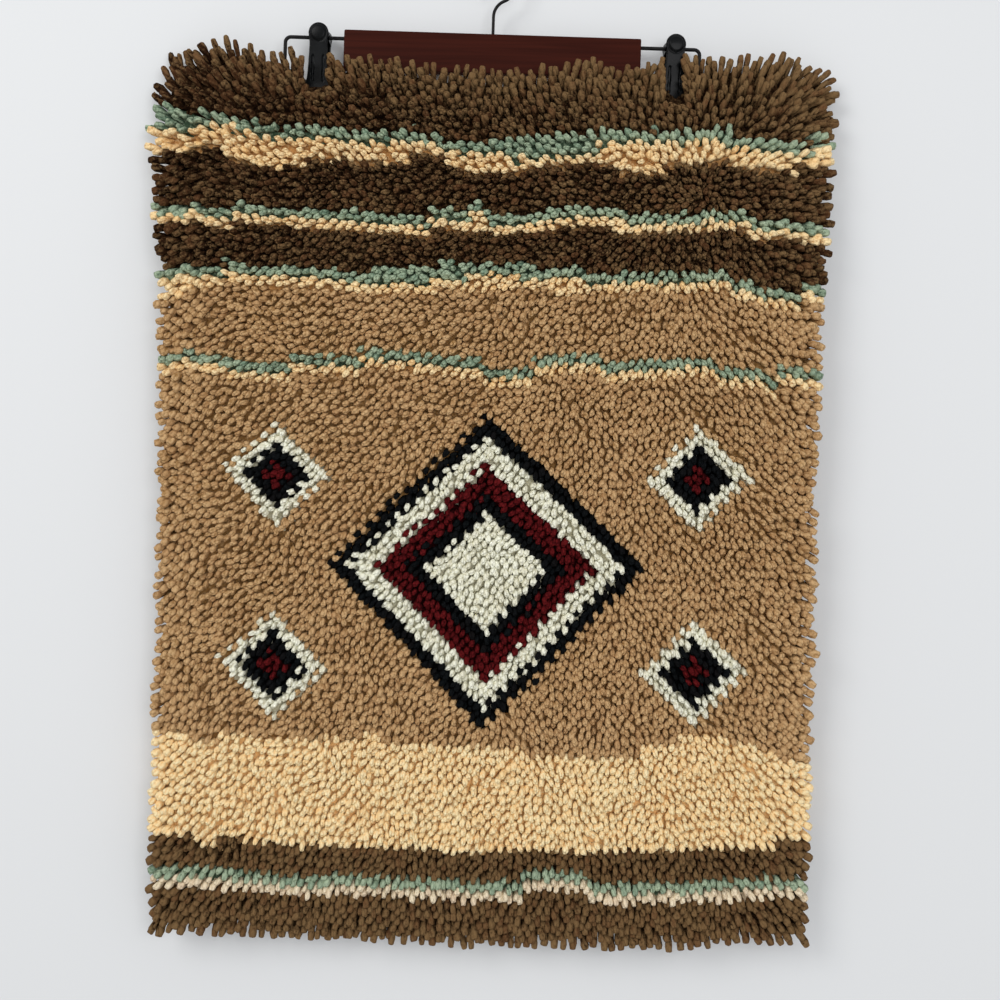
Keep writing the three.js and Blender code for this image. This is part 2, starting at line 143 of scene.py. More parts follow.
def backdrop_material(name, colour):
    """Paint that only the eye and reflections see, and only from the room's side."""
    looks = {"Base Color": colour, "Roughness": 0.9, "Specular IOR Level": 0.1}
    made, tree, shader = finish_material(name, looks)
    sum_of = partial(math_node, tree)
    path = tree.nodes.new("ShaderNodeLightPath").outputs
    seen = sum_of("MAXIMUM", path["Is Camera Ray"], path["Is Glossy Ray"])
    seen = sum_of("MAXIMUM", seen, path["Is Transmission Ray"])
    behind = tree.nodes.new("ShaderNodeNewGeometry").outputs["Backfacing"]
    shown = sum_of("MULTIPLY", seen, sum_of("SUBTRACT", 1, behind))
    clear = tree.nodes.new("ShaderNodeBsdfTransparent").outputs[0]
    mix = new_node(tree, "ShaderNodeMixShader", {"Fac": shown, 1: clear, 2: shader.outputs[0]})
    tree.links.new(mix.outputs[0], tree.nodes["Material Output"].inputs["Surface"])
    return made


def plain_mesh(name, points, faces, material):
    """A linked mesh object at the origin."""
    mesh = bpy.data.meshes.new(name)
    mesh.from_pydata([tuple(map(float, point)) for point in points], [], faces)
    mesh.materials.append(material)
    made = bpy.data.objects.new(name, mesh)
    bpy.context.scene.collection.objects.link(made)
    return made


def closed_sheet(front, back):
    """Points and faces of a sheet between two grids of points, closed all round by a rim."""
    rows, columns = front.shape[:2]
    behind = rows * columns
    corner = np.arange(behind).reshape(rows, columns)
    a, b, c, d = corner[:-1, :-1], corner[:-1, 1:], corner[1:, 1:], corner[1:, :-1]
    faces_before = np.stack([a, d, c, b], axis=-1).reshape(-1, 4)
    faces_behind = np.stack([a, b, c, d], axis=-1).reshape(-1, 4) + behind
    rim = np.concatenate([corner[0], corner[1:, -1], corner[-1, -2::-1], corner[-2:0:-1, 0]])
    after = np.roll(rim, -1)
    rim_faces = np.stack([rim, after, after + behind, rim + behind], axis=-1)
    points = np.concatenate([front.reshape(-1, 3), back.reshape(-1, 3)])
    return points, np.concatenate([faces_before, faces_behind, rim_faces]).tolist()


WALL_GAP = 0.004  # between the clips' backs and the wall
ROOM_HALF = 2.4
FLOOR_DROP = 0.35  # the floor below the hanging's bottom
wall_y = cad_box[1].y + WALL_GAP
floor_z = cad_box[0].z - FLOOR_DROP
wall = plain_mesh(
    "wall",
    [(-ROOM_HALF, wall_y, floor_z), (ROOM_HALF, wall_y, floor_z),
     (ROOM_HALF, wall_y, ROOM_HALF), (-ROOM_HALF, wall_y, ROOM_HALF)],
    [(0, 1, 2, 3)],
    backdrop_material("wall paint", linear(216, 218, 220)),
)
floor = plain_mesh(
    "floor",
    [(-ROOM_HALF, wall_y - 2 * ROOM_HALF, floor_z), (ROOM_HALF, wall_y - 2 * ROOM_HALF, floor_z),
     (ROOM_HALF, wall_y, floor_z), (-ROOM_HALF, wall_y, floor_z)],
    [(0, 1, 2, 3)],
    backdrop_material("floor paint", linear(212, 211, 208)),
)

# --------------------------------------------------------------------------- the canvas
# Stiff cotton rug canvas, 67 by 89 holes at 3.3 holes to the inch. Its raw edges are folded
# 28 mm to the back as a hem, and the two clips hold its top edge, so it sags between them.

MM = 0.001
CANVAS_WIDE = 516
CANVAS_TALL = 686
CANVAS_THICK = 1.6
HEM_WIDE = 28
HEM_THICK = 3
COLUMNS = 67
ROWS = 89
HOLE_WIDE = CANVAS_WIDE / COLUMNS
HOLE_TALL = CANVAS_TALL / ROWS
TOP_BOW, BOW_FADES = 5, 140  # how far forward it bows halfway between the clips
TOP_SPREAD, SPREAD_FADES = 0.018, 120  # by what share the pull of the clips widens it
LEAN_BACK = 7  # its bottom hangs nearer the wall
RIPPLE = 2.6  # at the bottom
CURL, CURL_FROM = 5, 170  # its bottom corners curl forward, from this far out
CLIP_MIDDLE = 3.8
CLIP_HALF_SPAN = 145.2
CANVAS_MIDDLE = 1
TOP_EDGE = (  # across the canvas, and how far its top edge stands above nominal there
    (-258, -7), (-225, 7), (-180, -2), (-146, -2), (-75, -6), (0, -13),
    (75, -4), (143, 0.5), (190, 3), (230, 4), (258, 1),
)
BOTTOM_EDGE = ((-258, 2), (-120, -3), (0, -6), (120, -5), (258, 1))
canvas_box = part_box("canvas")
CANVAS_TOP = canvas_box[1].z / MM - max(rise for _, rise in TOP_EDGE)
CANVAS_BOTTOM = canvas_box[0].z / MM - min(rise for _, rise in BOTTOM_EDGE)


def near(distance, reach):
    """1 at a place, fading away from it."""
    return np.exp(-distance / reach)


def smooth(value, low, high):
    share = np.clip((value - low) / (high - low), 0, 1)
    return share * share * (3 - 2 * share)


def edge_rise(table, across):
    """How far an edge stands above its nominal height, eased from row to row of its table."""
    places = np.array([place for place, _ in table], float)
    rises = np.array([rise for _, rise in table], float)
    across = np.clip(across, places[0], places[-1])
    after = np.clip(np.searchsorted(places, across), 1, len(places) - 1)
    share = smooth(across, places[after - 1], places[after])
    return rises[after - 1] + (rises[after] - rises[after - 1]) * share


def hang(across, down):
    """The canvas's middle, in mm, across it (0 in the middle) and down it (0 at the top)."""
    fall = down / CANVAS_TALL
    top = CANVAS_TOP + edge_rise(TOP_EDGE, across)
    bottom = CANVAS_BOTTOM + edge_rise(BOTTOM_EDGE, across)
    x = CANVAS_MIDDLE + across * (1 + TOP_SPREAD * near(down, SPREAD_FADES))
    bow = TOP_BOW * (((x - CLIP_MIDDLE) / CLIP_HALF_SPAN) ** 2 - 1) * near(down, BOW_FADES)
    lean_back = LEAN_BACK * smooth(down, 30, CANVAS_TALL)
    ripple = RIPPLE * fall * np.sin((across / 95 + 0.8) * np.pi) * np.cos(fall * 2.2)
    curl = -CURL * smooth(np.abs(across), CURL_FROM, CANVAS_WIDE / 2) * smooth(fall, 0.8, 1)
    hem_centred = (CANVAS_THICK - HEM_THICK) / 2
    y = bow + lean_back + ripple + curl + hem_centred
    return np.stack([x, y, top + (bottom - top) * fall], axis=-1)


def unit(vectors):
    return vectors / np.linalg.norm(vectors, axis=-1, keepdims=True)


def facing(across, down, step=4):
    """The canvas's own directions: across it, up it and out of its face."""
    right = unit(hang(across + step, down) - hang(across - step, down))
    up = unit(hang(across, np.maximum(down - step, 0)) - hang(across, down + step))
    out = np.cross(up, right)
    return right, up, unit(-out * np.sign(out[..., 1:2]))


# A face at each hole, front and back, and a rim of one row of faces between the two.
across_lines, down_lines = np.meshgrid(
    np.linspace(-CANVAS_WIDE / 2, CANVAS_WIDE / 2, COLUMNS + 1),
    np.linspace(0, CANVAS_TALL, ROWS + 1),
)
from_side = CANVAS_WIDE / 2 - np.abs(across_lines)
from_edge = np.minimum(from_side, np.minimum(down_lines, CANVAS_TALL - down_lines))
canvas_out = facing(across_lines, down_lines)[2]
canvas_front = hang(across_lines, down_lines) + canvas_out * CANVAS_THICK / 2
doubled = 1 - smooth(from_edge, HEM_WIDE - HOLE_WIDE * 0.55, HEM_WIDE + HOLE_WIDE * 0.45)
canvas_deep = CANVAS_THICK + (HEM_THICK - CANVAS_THICK) * doubled[..., None]
canvas_points, canvas_faces = closed_sheet(canvas_front, canvas_front - canvas_out * canvas_deep)


def own_place(tree):
    """The place on a piece in its own coordinates."""
    return tree.nodes.new("ShaderNodeTexCoord").outputs["Object"]


def colour_mix(tree, share, first, second):
    made = tree.nodes.new("ShaderNodeMix")
    made.data_type = "RGBA"
    set_inputs(tree, made, {"Factor": share, "A": first, "B": second})
    return made.outputs["Result"]


def relief(tree, shader, height, strength, distance):
    """Relief too fine to be modelled, which bends the light that a surface gives back."""
    inputs = {"Height": height, "Strength": strength, "Distance": distance}
    bump = new_node(tree, "ShaderNodeBump", inputs)
    tree.links.new(bump.outputs["Normal"], shader.inputs["Normal"])


THREAD_HALF = 0.15  # half a pair of threads, as a share of a hole
FURROW_HALF = 0.12 * THREAD_HALF
# how much darker, as painted shade, and lower the furrow between a pair's threads is
FURROW_SHADE_AND_DEPTH = 0.6


def thread_material():
    """Off-white cotton: pairs of warp threads at each whole count across, wefts between, with painted
    shade in the holes and in the furrow of each pair.
    """
    made, tree, shader = finish_material("rug canvas", {"Roughness": 0.9, "Sheen Weight": 0.15})
    sum_of = partial(math_node, tree)
    counts = tree.nodes.new("ShaderNodeUVMap")
    counts.uv_map = "holes"
    split = new_node(tree, "ShaderNodeSeparateXYZ", {0: counts.outputs["UV"]})

    def threads(count, phase):
        """1 on a pair of threads and 0 in a hole, with a furrow between the two."""
        turned = sum_of("FRACT", sum_of("ADD", count, phase))
        offset = sum_of("ABSOLUTE", sum_of("SUBTRACT", turned, 0.5))
        furrow = sum_of("MULTIPLY", sum_of("LESS_THAN", offset, FURROW_HALF), FURROW_SHADE_AND_DEPTH)
        pair = sum_of("LESS_THAN", offset, THREAD_HALF)
        return sum_of("MULTIPLY", pair, sum_of("SUBTRACT", 1, furrow))

    warp, weft = threads(split.outputs["X"], 0.5), threads(split.outputs["Y"], 0.0)
    cover = sum_of("MAXIMUM", warp, weft)
    # The holes between the threads are painted dark brown as shade.
    cotton = colour_mix(tree, cover, linear(70, 58, 44), linear(214, 204, 180))
    tree.links.new(cotton, shader.inputs["Base Color"])
    inputs = {"Scale": 900, "Distortion": 2, "Vector": own_place(tree)}
    twist = new_node(tree, "ShaderNodeTexWave", inputs).outputs["Fac"]
    height = sum_of("ADD", cover, sum_of("MULTIPLY", twist, 0.15))
    relief(tree, shader, height, 0.8, 0.0012)
    return made


canvas = plain_mesh("canvas_cloth", canvas_points * MM, canvas_faces, thread_material())
hole_counts = canvas.data.uv_layers.new(name="holes")
counts_at = np.stack(
    [(across_lines + CANVAS_WIDE / 2) / HOLE_WIDE, down_lines / HOLE_TALL], axis=-1
).reshape(-1, 2)
for loop in canvas.data.loops:
    hole_counts.data[loop.index].uv = counts_at[loop.vertex_index % len(counts_at)]
canvas.data.shade_smooth()
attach(canvas, "root")
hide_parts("canvas")

# --------------------------------------------------------------------------- the chart
# What a maker would colour in on squared paper: which yarn each knot is. The landscape
# stripes run right across and jog by a row here and there; diamonds lie on the tan ground.

STATIONS = (0, 4, 8, 16, 24, 32, 40, 48, 56, 62, 66)  # columns
STRIPES = (  # a yarn, and the row where its stripe ends at each of those columns
    ("brown", (4.2, 6.3, 6.2, 6, 6, 6, 6, 6, 6.2, 7, 6)),
    ("green", (6.2, 7.4, 7.2, 7, 7, 7, 8, 7, 7.4, 8, 7)),
    ("cream", (8.2, 9.5, 9.6, 9, 8.8, 8.5, 9, 10, 9.3, 9.5, 9)),
    ("brown", (13, 14.5, 14, 14, 14, 12.5, 12.8, 14, 14.2, 15.2, 14.9)),
    ("green", (14, 15.5, 15, 15, 15, 13.5, 13.8, 15, 15.2, 16.2, 15.9)),
    ("cream", (15, 16.5, 16, 16, 16, 15, 15, 16, 16.2, 17.2, 16.9)),
    ("brown", (19.5, 21, 20, 19.5, 19, 18, 19, 20, 20.5, 22, 21)),
    ("green", (20.5, 22, 21, 20.5, 21, 19.5, 20, 21, 21.5, 23, 22)),
    ("cream", (23, 23, 22, 22, 22, 21, 21.5, 22, 22.5, 24, 23)),
    ("tan", (29.5, 30, 29.5, 29, 28.3, 28.2, 28.7, 28.7, 29.3, 30.8, 30.5)),
    ("green", (30.5, 31, 30.5, 30, 29.3, 29.2, 29.7, 29.7, 30.3, 31.8, 31.5)),
    ("cream", (31.5, 32, 31.5, 31, 30.3, 30.2, 30.7, 30.7, 31.3, 32.8, 32.5)),
    ("tan", (69.4, 70, 69, 69, 68.6, 69, 70.2, 69.8, 68.2, 69.4, 71.2)),
    ("straw", (80, 80.5, 80, 80, 79.7, 80, 80, 79.7, 80, 80, 79.3)),
    ("brown", (83, 83, 83, 83, 83.3, 83, 82.5, 82.7, 83.3, 83, 83)),
    ("green", (84, 84, 84, 84, 84.3, 84, 83.5, 83.7, 84.3, 84, 84)),
    ("ecru", (85, 85, 85, 85, 85.3, 85, 84.5, 84.7, 85.3, 85, 85)),
    ("brown", (ROWS,) * len(STATIONS)),
)
WIDE_STRIPES = ("brown", "tan", "straw")  # whose ends wander; the thin ones below follow them
WANDER = 0.3  # rows
dice = np.random.default_rng(41)

columns = np.arange(COLUMNS)
stripe_of = np.full((ROWS, COLUMNS), "brown", dtype=object)
start = np.zeros(COLUMNS)
for yarn, ends in STRIPES:
    if yarn in WIDE_STRIPES:
        wander = WANDER * np.sin(columns / dice.uniform(2.2, 4) + dice.uniform(0, 2 * math.pi))
    end = np.interp(columns, STATIONS, ends)
    end = np.where(end < ROWS, np.round(end + wander), ROWS)
    for column in columns:
        stripe_of[int(start[column]):int(end[column]), column] = yarn
    start = end

MEDALLION = ((6, "white"), (8, "black"), (11, "oxblood"), (14, "white"), (16, "black"))
SMALL_DIAMOND = ((1, "oxblood"), (3, "black"), (5, "white"))
DIAMONDS = (  # a centre, and its rings of yarn from the core outwards
    (33, 50, MEDALLION),
    (11, 41, SMALL_DIAMOND), (55, 41, SMALL_DIAMOND),
    (11, 61, SMALL_DIAMOND), (55, 61, SMALL_DIAMOND),
)
row_at, column_at = np.mgrid[0:ROWS, 0:COLUMNS]
for centre_column, centre_row, rings in DIAMONDS:
    steps = np.abs(column_at - centre_column) + np.abs(row_at - centre_row)
    for reach, yarn in reversed(rings):
        stripe_of[steps <= reach] = yarn

# --------------------------------------------------------------------------- the pile
# Each knot is a 64 mm length of thick wool looped round a weft, so that its two cut ends
# stand out as tufts. They fan past the edges, hang a little, and part round the clips.

PILE_LENGTH = 25
YARN_WIDE = 7.1  # where its cut end blooms
# How far the tufts rise, hang or fan near an edge, in degrees, and over what reach that fades.
PILE_DROOP = 12  # below square to the canvas
TOP_RISE, TOP_REACH = 60, 45
BOTTOM_FALL, BOTTOM_REACH = 28, 32
CORNER_LIFT, LIFT_DOWN, LIFT_ACROSS = 22, 30, 45  # at the top left corner
CORNER_FAN, CORNER_DOWN, CORNER_ACROSS = 14, 50, 40  # at both top corners
FAN_REACH = 32
EDGE_FAN = (  # share of the way down, and how far the outermost tufts fan left and right
    (0, 50, 52), (0.1, 46, 46), (0.2, 33, 40), (0.3, 25, 26),
    (0.5, 20, 21), (0.83, 21, 27), (0.9, 22, 22), (1, 26, 26),
)
STROKED, STROKED_TOP, STROKED_REACH = 5, 15, 25  # degrees either way, and more at the top
ASTRAY = 14  # degrees, where the pile is at its shaggiest
SHAGGY = ((0, 0.55), (0.07, 0.5), (0.26, 0.3), (0.3, 0.2), (0.84, 0.2), (1, 0.3))
CORNER_LONG, LONG_DOWN, LONG_ACROSS = 7, 45, 35  # the top left corner's wool is teased out
TIPS_APART = 7  # what springy tips settle at, the way that they lie
TUFT_APART = 1.6  # half the distance between a knot's two ends where they leave it


def down_table(table, down, field=1):
    """A field of a table whose rows start with the share of the way down the canvas."""
    return np.interp(down / CANVAS_TALL, [row[0] for row in table], [row[field] for row in table])


def lay(across, down):
    """How the pile lies at a place: its rise and its fan to the right, in radians."""
    from_left, from_right = across + CANVAS_WIDE / 2, CANVAS_WIDE / 2 - across
    rise = TOP_RISE * near(down, TOP_REACH) - PILE_DROOP
    rise = rise - BOTTOM_FALL * near(CANVAS_TALL - down, BOTTOM_REACH)
    rise = rise + CORNER_LIFT * near(down, LIFT_DOWN) * near(from_left, LIFT_ACROSS)
    fan_left, fan_right = down_table(EDGE_FAN, down, 1), down_table(EDGE_FAN, down, 2)
    fan = fan_right * near(from_right, FAN_REACH) - fan_left * near(from_left, FAN_REACH)
    one_sided = near(from_right, CORNER_ACROSS) - near(from_left, CORNER_ACROSS)
    fan = fan + CORNER_FAN * near(down, CORNER_DOWN) * one_sided
    return np.radians(rise), np.radians(fan)


def swell(across, down):
    """A slow unevenness in the length of the cut pile."""
    return 1.2 * np.sin(across / 47 + down / 83) * np.sin(down / 61 - across / 120)


def brushed(across, down, seed):
    """A slow swirl from -1 to 1, as where a hand has stroked the pile one way or another."""
    a, b, c = np.random.default_rng(seed).uniform(0, 2 * math.pi, 3)
    return (
        np.sin(across / 31 + down / 57 + a) * np.cos(down / 26 - across / 71 + b)
        + 0.6 * np.sin(across / 13 - down / 17 + c)
    ) / 1.6


LENGTH_SPREAD, LENGTH_SHY = 1.3, 0.6  # how uneven the tufts are, and how far short of nominal
FOOT_OFF_ACROSS, FOOT_OFF_DOWN, TIP_OFF = 0.15, 0.3, 0.8  # how unevenly the tufts are spaced
SWIRL, SCATTER = 28, 16  # degrees that tips lie off, place by place and tuft by tuft
LAID_FROM = (170, 90)  # across and down: the tips were stroked away from this place
DRAWN_OUT = 0.32  # by how much a leaning tip looks narrower across its lean


def tips_lie(across, down, right, up):
    """Which way the tips lie, and square to it, in the canvas's own plane."""
    angle = np.arctan2(LAID_FROM[1] - down, across - LAID_FROM[0])
    angle = angle + np.radians(SWIRL * brushed(across, down, 7) + SCATTER * dice.normal(0, 1, shape))
    away, aside = np.cos(angle)[..., None], np.sin(angle)[..., None]
    return right * away + up * aside, up * away - right * aside


# Two tufts for each knot, one a little above the other, so that the tips spread evenly.
side = np.array([-1, 1])[None, None, :]
knot_across = ((column_at + 0.5) * HOLE_WIDE - CANVAS_WIDE / 2)[..., None]
knot_down = ((row_at + 0.5) * HOLE_TALL)[..., None]
shape = (ROWS, COLUMNS, 2)
foot_across = knot_across + side * TUFT_APART + dice.normal(0, FOOT_OFF_ACROSS, shape)
foot_down = knot_down + dice.normal(0, FOOT_OFF_DOWN, shape)
tip_across = knot_across + side * HOLE_WIDE / 4 + dice.normal(0, TIP_OFF, shape)
tip_down = knot_down + side * HOLE_TALL / 4 + dice.normal(0, TIP_OFF, shape)
tip_across = np.clip(tip_across, -CANVAS_WIDE / 2, CANVAS_WIDE / 2)
tip_down = np.clip(tip_down, 0, CANVAS_TALL)


PUSH = 0.3  # how far a round moves crowded tips, as a share of their overlap


def spread_apart(tips, feet, narrow, apart, rounds):
    """Tips that crowd each other are pushed apart as springy wool does, each on its own foot."""
    reach = np.linalg.norm(tips - feet, axis=-1, keepdims=True)
    crowd = tips.reshape(ROWS, 2 * COLUMNS, 3)
    narrow = narrow.reshape(crowd.shape)
    neighbours = [(down, over) for down in (-1, 0, 1) for over in range(-3, 4)]
    neighbours.remove((0, 0))
    for _ in range(rounds):
        push = np.zeros_like(crowd)
        for neighbour in neighbours:
            gap = crowd - np.roll(crowd, neighbour, axis=(0, 1))
            sideways = narrow * np.sum(gap * narrow, axis=-1, keepdims=True)
            distance = np.linalg.norm(gap + 0.5 * sideways, axis=-1, keepdims=True)
            push += gap / distance * np.maximum(apart - distance, 0)
        crowd = crowd + PUSH * push
        straight = unit(crowd.reshape(tips.shape) - feet)
        crowd = (feet + straight * reach).reshape(crowd.shape)
    return crowd.reshape(tips.shape)


rise, fan = lay(tip_across, tip_down)
from_side = CANVAS_WIDE / 2 - np.abs(tip_across)
unruly = down_table(SHAGGY, tip_down) * (0.5 + 0.5 * near(from_side, 22))
tousled = STROKED + STROKED_TOP * near(tip_down, STROKED_REACH)
astray = np.clip(dice.normal(0, 1, (2, *shape)), -2, 2) * ASTRAY * unruly
rise = rise + np.radians(tousled * brushed(tip_across, tip_down, 5) + astray[0])
fan = fan + np.radians(tousled * brushed(tip_across, tip_down, 9) + astray[1])
length = PILE_LENGTH + swell(tip_across, tip_down) + dice.normal(0, LENGTH_SPREAD, shape) - LENGTH_SHY
from_left = tip_across + CANVAS_WIDE / 2
length = length + CORNER_LONG * near(tip_down, LONG_DOWN) * near(from_left, LONG_ACROSS)

right, up, out = facing(tip_across, tip_down)
tips = hang(tip_across, tip_down) + length[..., None] * (
    right * (np.sin(fan) * np.cos(rise))[..., None]
    + out * (np.cos(fan) * np.cos(rise))[..., None]
    + up * np.sin(rise)[..., None]
)
foot_out = facing(foot_across, foot_down)[2]
feet = hang(foot_across, foot_down) + foot_out * CANVAS_THICK / 2
lie, narrow = tips_lie(tip_across, tip_down, right, up)
tips = spread_apart(tips, feet, narrow, TIPS_APART, rounds=9) + dice.normal(0, 0.4, (*shape, 3))
STIFF = 0.55  # how far a tuft keeps straight out of its knot before it leans
BELLY, BELLY_OFF = 3.5, 1.3  # how far it arches against its lean, and how unevenly
bends = feet + length[..., None] * 0.5 * (STIFF * foot_out + (1 - STIFF) * unit(tips - feet))
from_edge = np.minimum(from_side, np.minimum(tip_down, CANVAS_TALL - tip_down))
packed = (1 - near(from_edge, 12))[..., None]  # 1 amid the pile, and 0 where it ends
bends = bends + dice.normal(0, BELLY_OFF, (*shape, 3)) - BELLY * packed * lie
flat = narrow * np.sqrt(DRAWN_OUT * packed)

# Where a clip's jaw bites, the knots are crushed flat under it, and those beside it lean away.
PARTING = 1  # from the jaw's side to the middle of the nearest tuft
OVERHANG = 5  # how far the tips then lean back over the jaw
CLOSING, CLOSING_REACH = 14, 22  # how far tips are drawn to a jaw, and over what reach
JAW_CLEAR = 4  # how far below the jaw's end the tips under it stay
UNDER_REACH = 2  # how far past the jaw's side that still holds
LEANS_WITHIN = 40  # only tufts this near a jaw's side lean over it or away from it
TIPS_INWARD = 0.98  # the tips part a little nearer the hanging's middle than the feet
crushed = np.zeros(shape, bool)
for clip_side in ("left", "right"):
    jaw_low, jaw_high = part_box(f"clip_{clip_side}_front")
    jaw_middle = (jaw_low.x + jaw_high.x) / 2 / MM
    jaw_half = (jaw_high.x - jaw_low.x) / 2 / MM
    jaw_end = jaw_low.z / MM
    which_side = np.sign(feet[..., 0] - jaw_middle)
    beside = tips[..., 2] > jaw_end - PARTING
    crushed |= (np.abs(feet[..., 0] - jaw_middle) < jaw_half) & (feet[..., 2] > jaw_end - 1)
    under = (feet[..., 2] < jaw_end) & (np.abs(tips[..., 0] - jaw_middle) < jaw_half + UNDER_REACH)
    for points, clear, about in (
        (tips, jaw_half - OVERHANG, TIPS_INWARD * jaw_middle),
        (bends, jaw_half + PARTING, jaw_middle),
    ):
        leaning = np.abs(points[..., 0] - about)
        drawn = leaning - CLOSING * near(np.maximum(leaning - clear, 0), CLOSING_REACH)
        spread = about + which_side * np.maximum(drawn, clear + 0.1 * leaning)
        moves = beside & ~under & (leaning < clear + LEANS_WITHIN)
        points[..., 0] = np.where(moves, spread, points[..., 0])
        capped = np.minimum(points[..., 2], jaw_end - JAW_CLEAR)
        points[..., 2] = np.where(under, capped, points[..., 2])


def new_group(name, tree_kind, inputs, outputs):
    """A node group with sockets named under their kinds, and what its inputs give."""
    tree = bpy.data.node_groups.new(name, tree_kind)
    for in_out, sockets in (("INPUT", inputs), ("OUTPUT", outputs)):
        for kind, labels in sockets.items():
            for label in labels:
                tree.interface.new_socket(label, in_out=in_out, socket_type="NodeSocket" + kind)
    return tree, tree.nodes.new("NodeGroupInput").outputs


def yarn_tree(name, widths):
    """Twisted yarn from start over bend to end, with its width along it from a short table."""
    inputs = {
        "Geometry": ["Geometry"],
        "Float": ["Yarn width", "Ring crowding", "Ply depth", "Twist", "Lumps"],
        "Int": ["Rings", "Plies"], "Bool": ["Cut ends"], "Material": ["Yarn"],
    }
    tree, given = new_group(name, "GeometryNodeTree", inputs, {"Geometry": ["Geometry"]})
    sum_of = partial(math_node, tree)
    place = tree.nodes.new("GeometryNodeInputPosition").outputs[0]

    def stored(label, kind="FLOAT_VECTOR"):
        """What each point carries under that name."""
        made = tree.nodes.new("GeometryNodeInputNamedAttribute")
        made.data_type = kind
        made.inputs["Name"].default_value = label
        return made.outputs["Attribute"]

    def storing(geometry, label, value, kind="FLOAT_VECTOR"):
        made = tree.nodes.new("GeometryNodeStoreNamedAttribute")
        made.data_type = kind
        set_inputs(tree, made, {"Geometry": geometry, "Name": label, "Value": value})
        return made.outputs[0]

    def vector_sum(operation, inputs):
        made = tree.nodes.new("ShaderNodeVectorMath")
        made.operation = operation
        set_inputs(tree, made, inputs)
        return made.outputs["Value" if operation == "DOT_PRODUCT" else "Vector"]

    def between(first, second, share):
        made = tree.nodes.new("ShaderNodeMix")
        made.data_type = "VECTOR"
        set_inputs(tree, made, {"Factor": share, 4: first, 5: second})
        return made.outputs[1]

    def step(kind, inputs):
        """One step of the making: the geometry that a node gives."""
        return new_node(tree, "GeometryNode" + kind, inputs).outputs[0]

    # A straight strand at each point, its rings crowded towards the cut end, bent and twisted.
    strand = step("ResampleCurve", {"Curve": step("CurvePrimitiveLine", {}), "Count": given["Rings"]})
    factor = tree.nodes.new("GeometryNodeSplineParameter").outputs["Factor"]
    left_over = sum_of("POWER", sum_of("SUBTRACT", 1, factor), given["Ring crowding"])
    strand = storing(strand, "along", sum_of("SUBTRACT", 1, left_over), "FLOAT")
    strand = step("InstanceOnPoints", {"Points": given["Geometry"], "Instance": strand})
    strand = step("RealizeInstances", {0: strand})
    along = stored("along", "FLOAT")
    lower = between(stored("start"), stored("bend"), along)
    upper = between(stored("bend"), stored("end"), along)
    strand = step("SetPosition", {"Geometry": strand, "Position": between(lower, upper, along)})
    tilt = sum_of("MULTIPLY_ADD", along, given["Twist"], stored("turn", "FLOAT"))
    strand = step("SetCurveTilt", {"Curve": strand, "Tilt": tilt})
    strand = storing(strand, "middle", place)

    # The section is a soft star with a point for each ply.
    half = sum_of("MULTIPLY", given["Yarn width"], 0.5)
    inner = sum_of("MULTIPLY", half, sum_of("SUBTRACT", 1, given["Ply depth"]))
    star = {"Points": given["Plies"], "Outer Radius": half, "Inner Radius": inner}
    section = storing(step("CurveStar", star), "round", place)
    taper = new_node(tree, "ShaderNodeFloatCurve", {"Value": along})
    curve = taper.mapping.curves[0]
    curve.points[0].location = widths[0]
    curve.points[1].location = widths[-1]
    for point in widths[1:-1]:
        curve.points.new(*point)
    taper.mapping.update()
    width = sum_of("MULTIPLY", taper.outputs[0], stored("girth", "FLOAT"))
    skin = {"Curve": strand, "Profile Curve": section, "Scale": width, "Fill Caps": given["Cut ends"]}
    yarn = step("CurveToMesh", skin)

    # Yarn that leans is drawn out: it is narrower one way. Then it gets its lumps.
    flat = stored("flat")
    offset = vector_sum("SUBTRACT", {0: place, 1: stored("middle")})
    inwards = vector_sum("SCALE", {0: flat, "Scale": vector_sum("DOT_PRODUCT", {0: offset, 1: flat})})
    drawn = vector_sum("SUBTRACT", {0: place, 1: inwards})
    yarn = step("SetPosition", {"Geometry": yarn, "Position": drawn})
    bulges = new_node(tree, "ShaderNodeTexNoise", {"Scale": 260, "Detail": 1, "Vector": place})
    centred = vector_sum("SUBTRACT", {0: bulges.outputs["Color"], 1: (0.5, 0.5, 0.5)})
    lumpy = vector_sum("SCALE", {0: centred, "Scale": given["Lumps"]})
    yarn = step("SetPosition", {"Geometry": yarn, "Offset": lumpy})
    yarn = step("RealizeInstances", {0: step("SetShadeSmooth", {"Geometry": yarn})})
    yarn = step("SetMaterial", {"Geometry": yarn, "Material": given["Yarn"]})
    new_node(tree, "NodeGroupOutput", {"Geometry": yarn})
    return tree


def grown(name, tree, points, attributes, settings):
    """The plain mesh that a geometry tree grows on points that carry these attributes."""
    seed = bpy.data.meshes.new(name)
    seed.from_pydata(points.tolist(), [], [])
    for label, values in attributes.items():
        kind, field = ("FLOAT_VECTOR", "vector") if values.ndim == 2 else ("FLOAT", "value")
        seed.attributes.new(label, kind, "POINT").data.foreach_set(field, values.ravel())
    made = bpy.data.objects.new(name, seed)
    modifier = made.modifiers.new("grow", "NODES")
    modifier.node_group = tree
    for item in tree.interface.items_tree:
        if item.in_out == "INPUT" and item.name in settings:
            modifier[item.identifier] = settings[item.name]
    bpy.context.scene.collection.objects.link(made)
    view = bpy.context.evaluated_depsgraph_get()
    whole = bpy.data.meshes.new_from_object(
        made.evaluated_get(view), preserve_all_data_layers=True, depsgraph=view
    )
    made.modifiers.remove(modifier)
    made.data = whole
    whole.name = name
    bpy.data.meshes.remove(seed)
    for label in ("middle", *attributes):
        if label not in ("shade", "tint") and label in whole.attributes:
            whole.attributes.remove(whole.attributes[label])
    return made


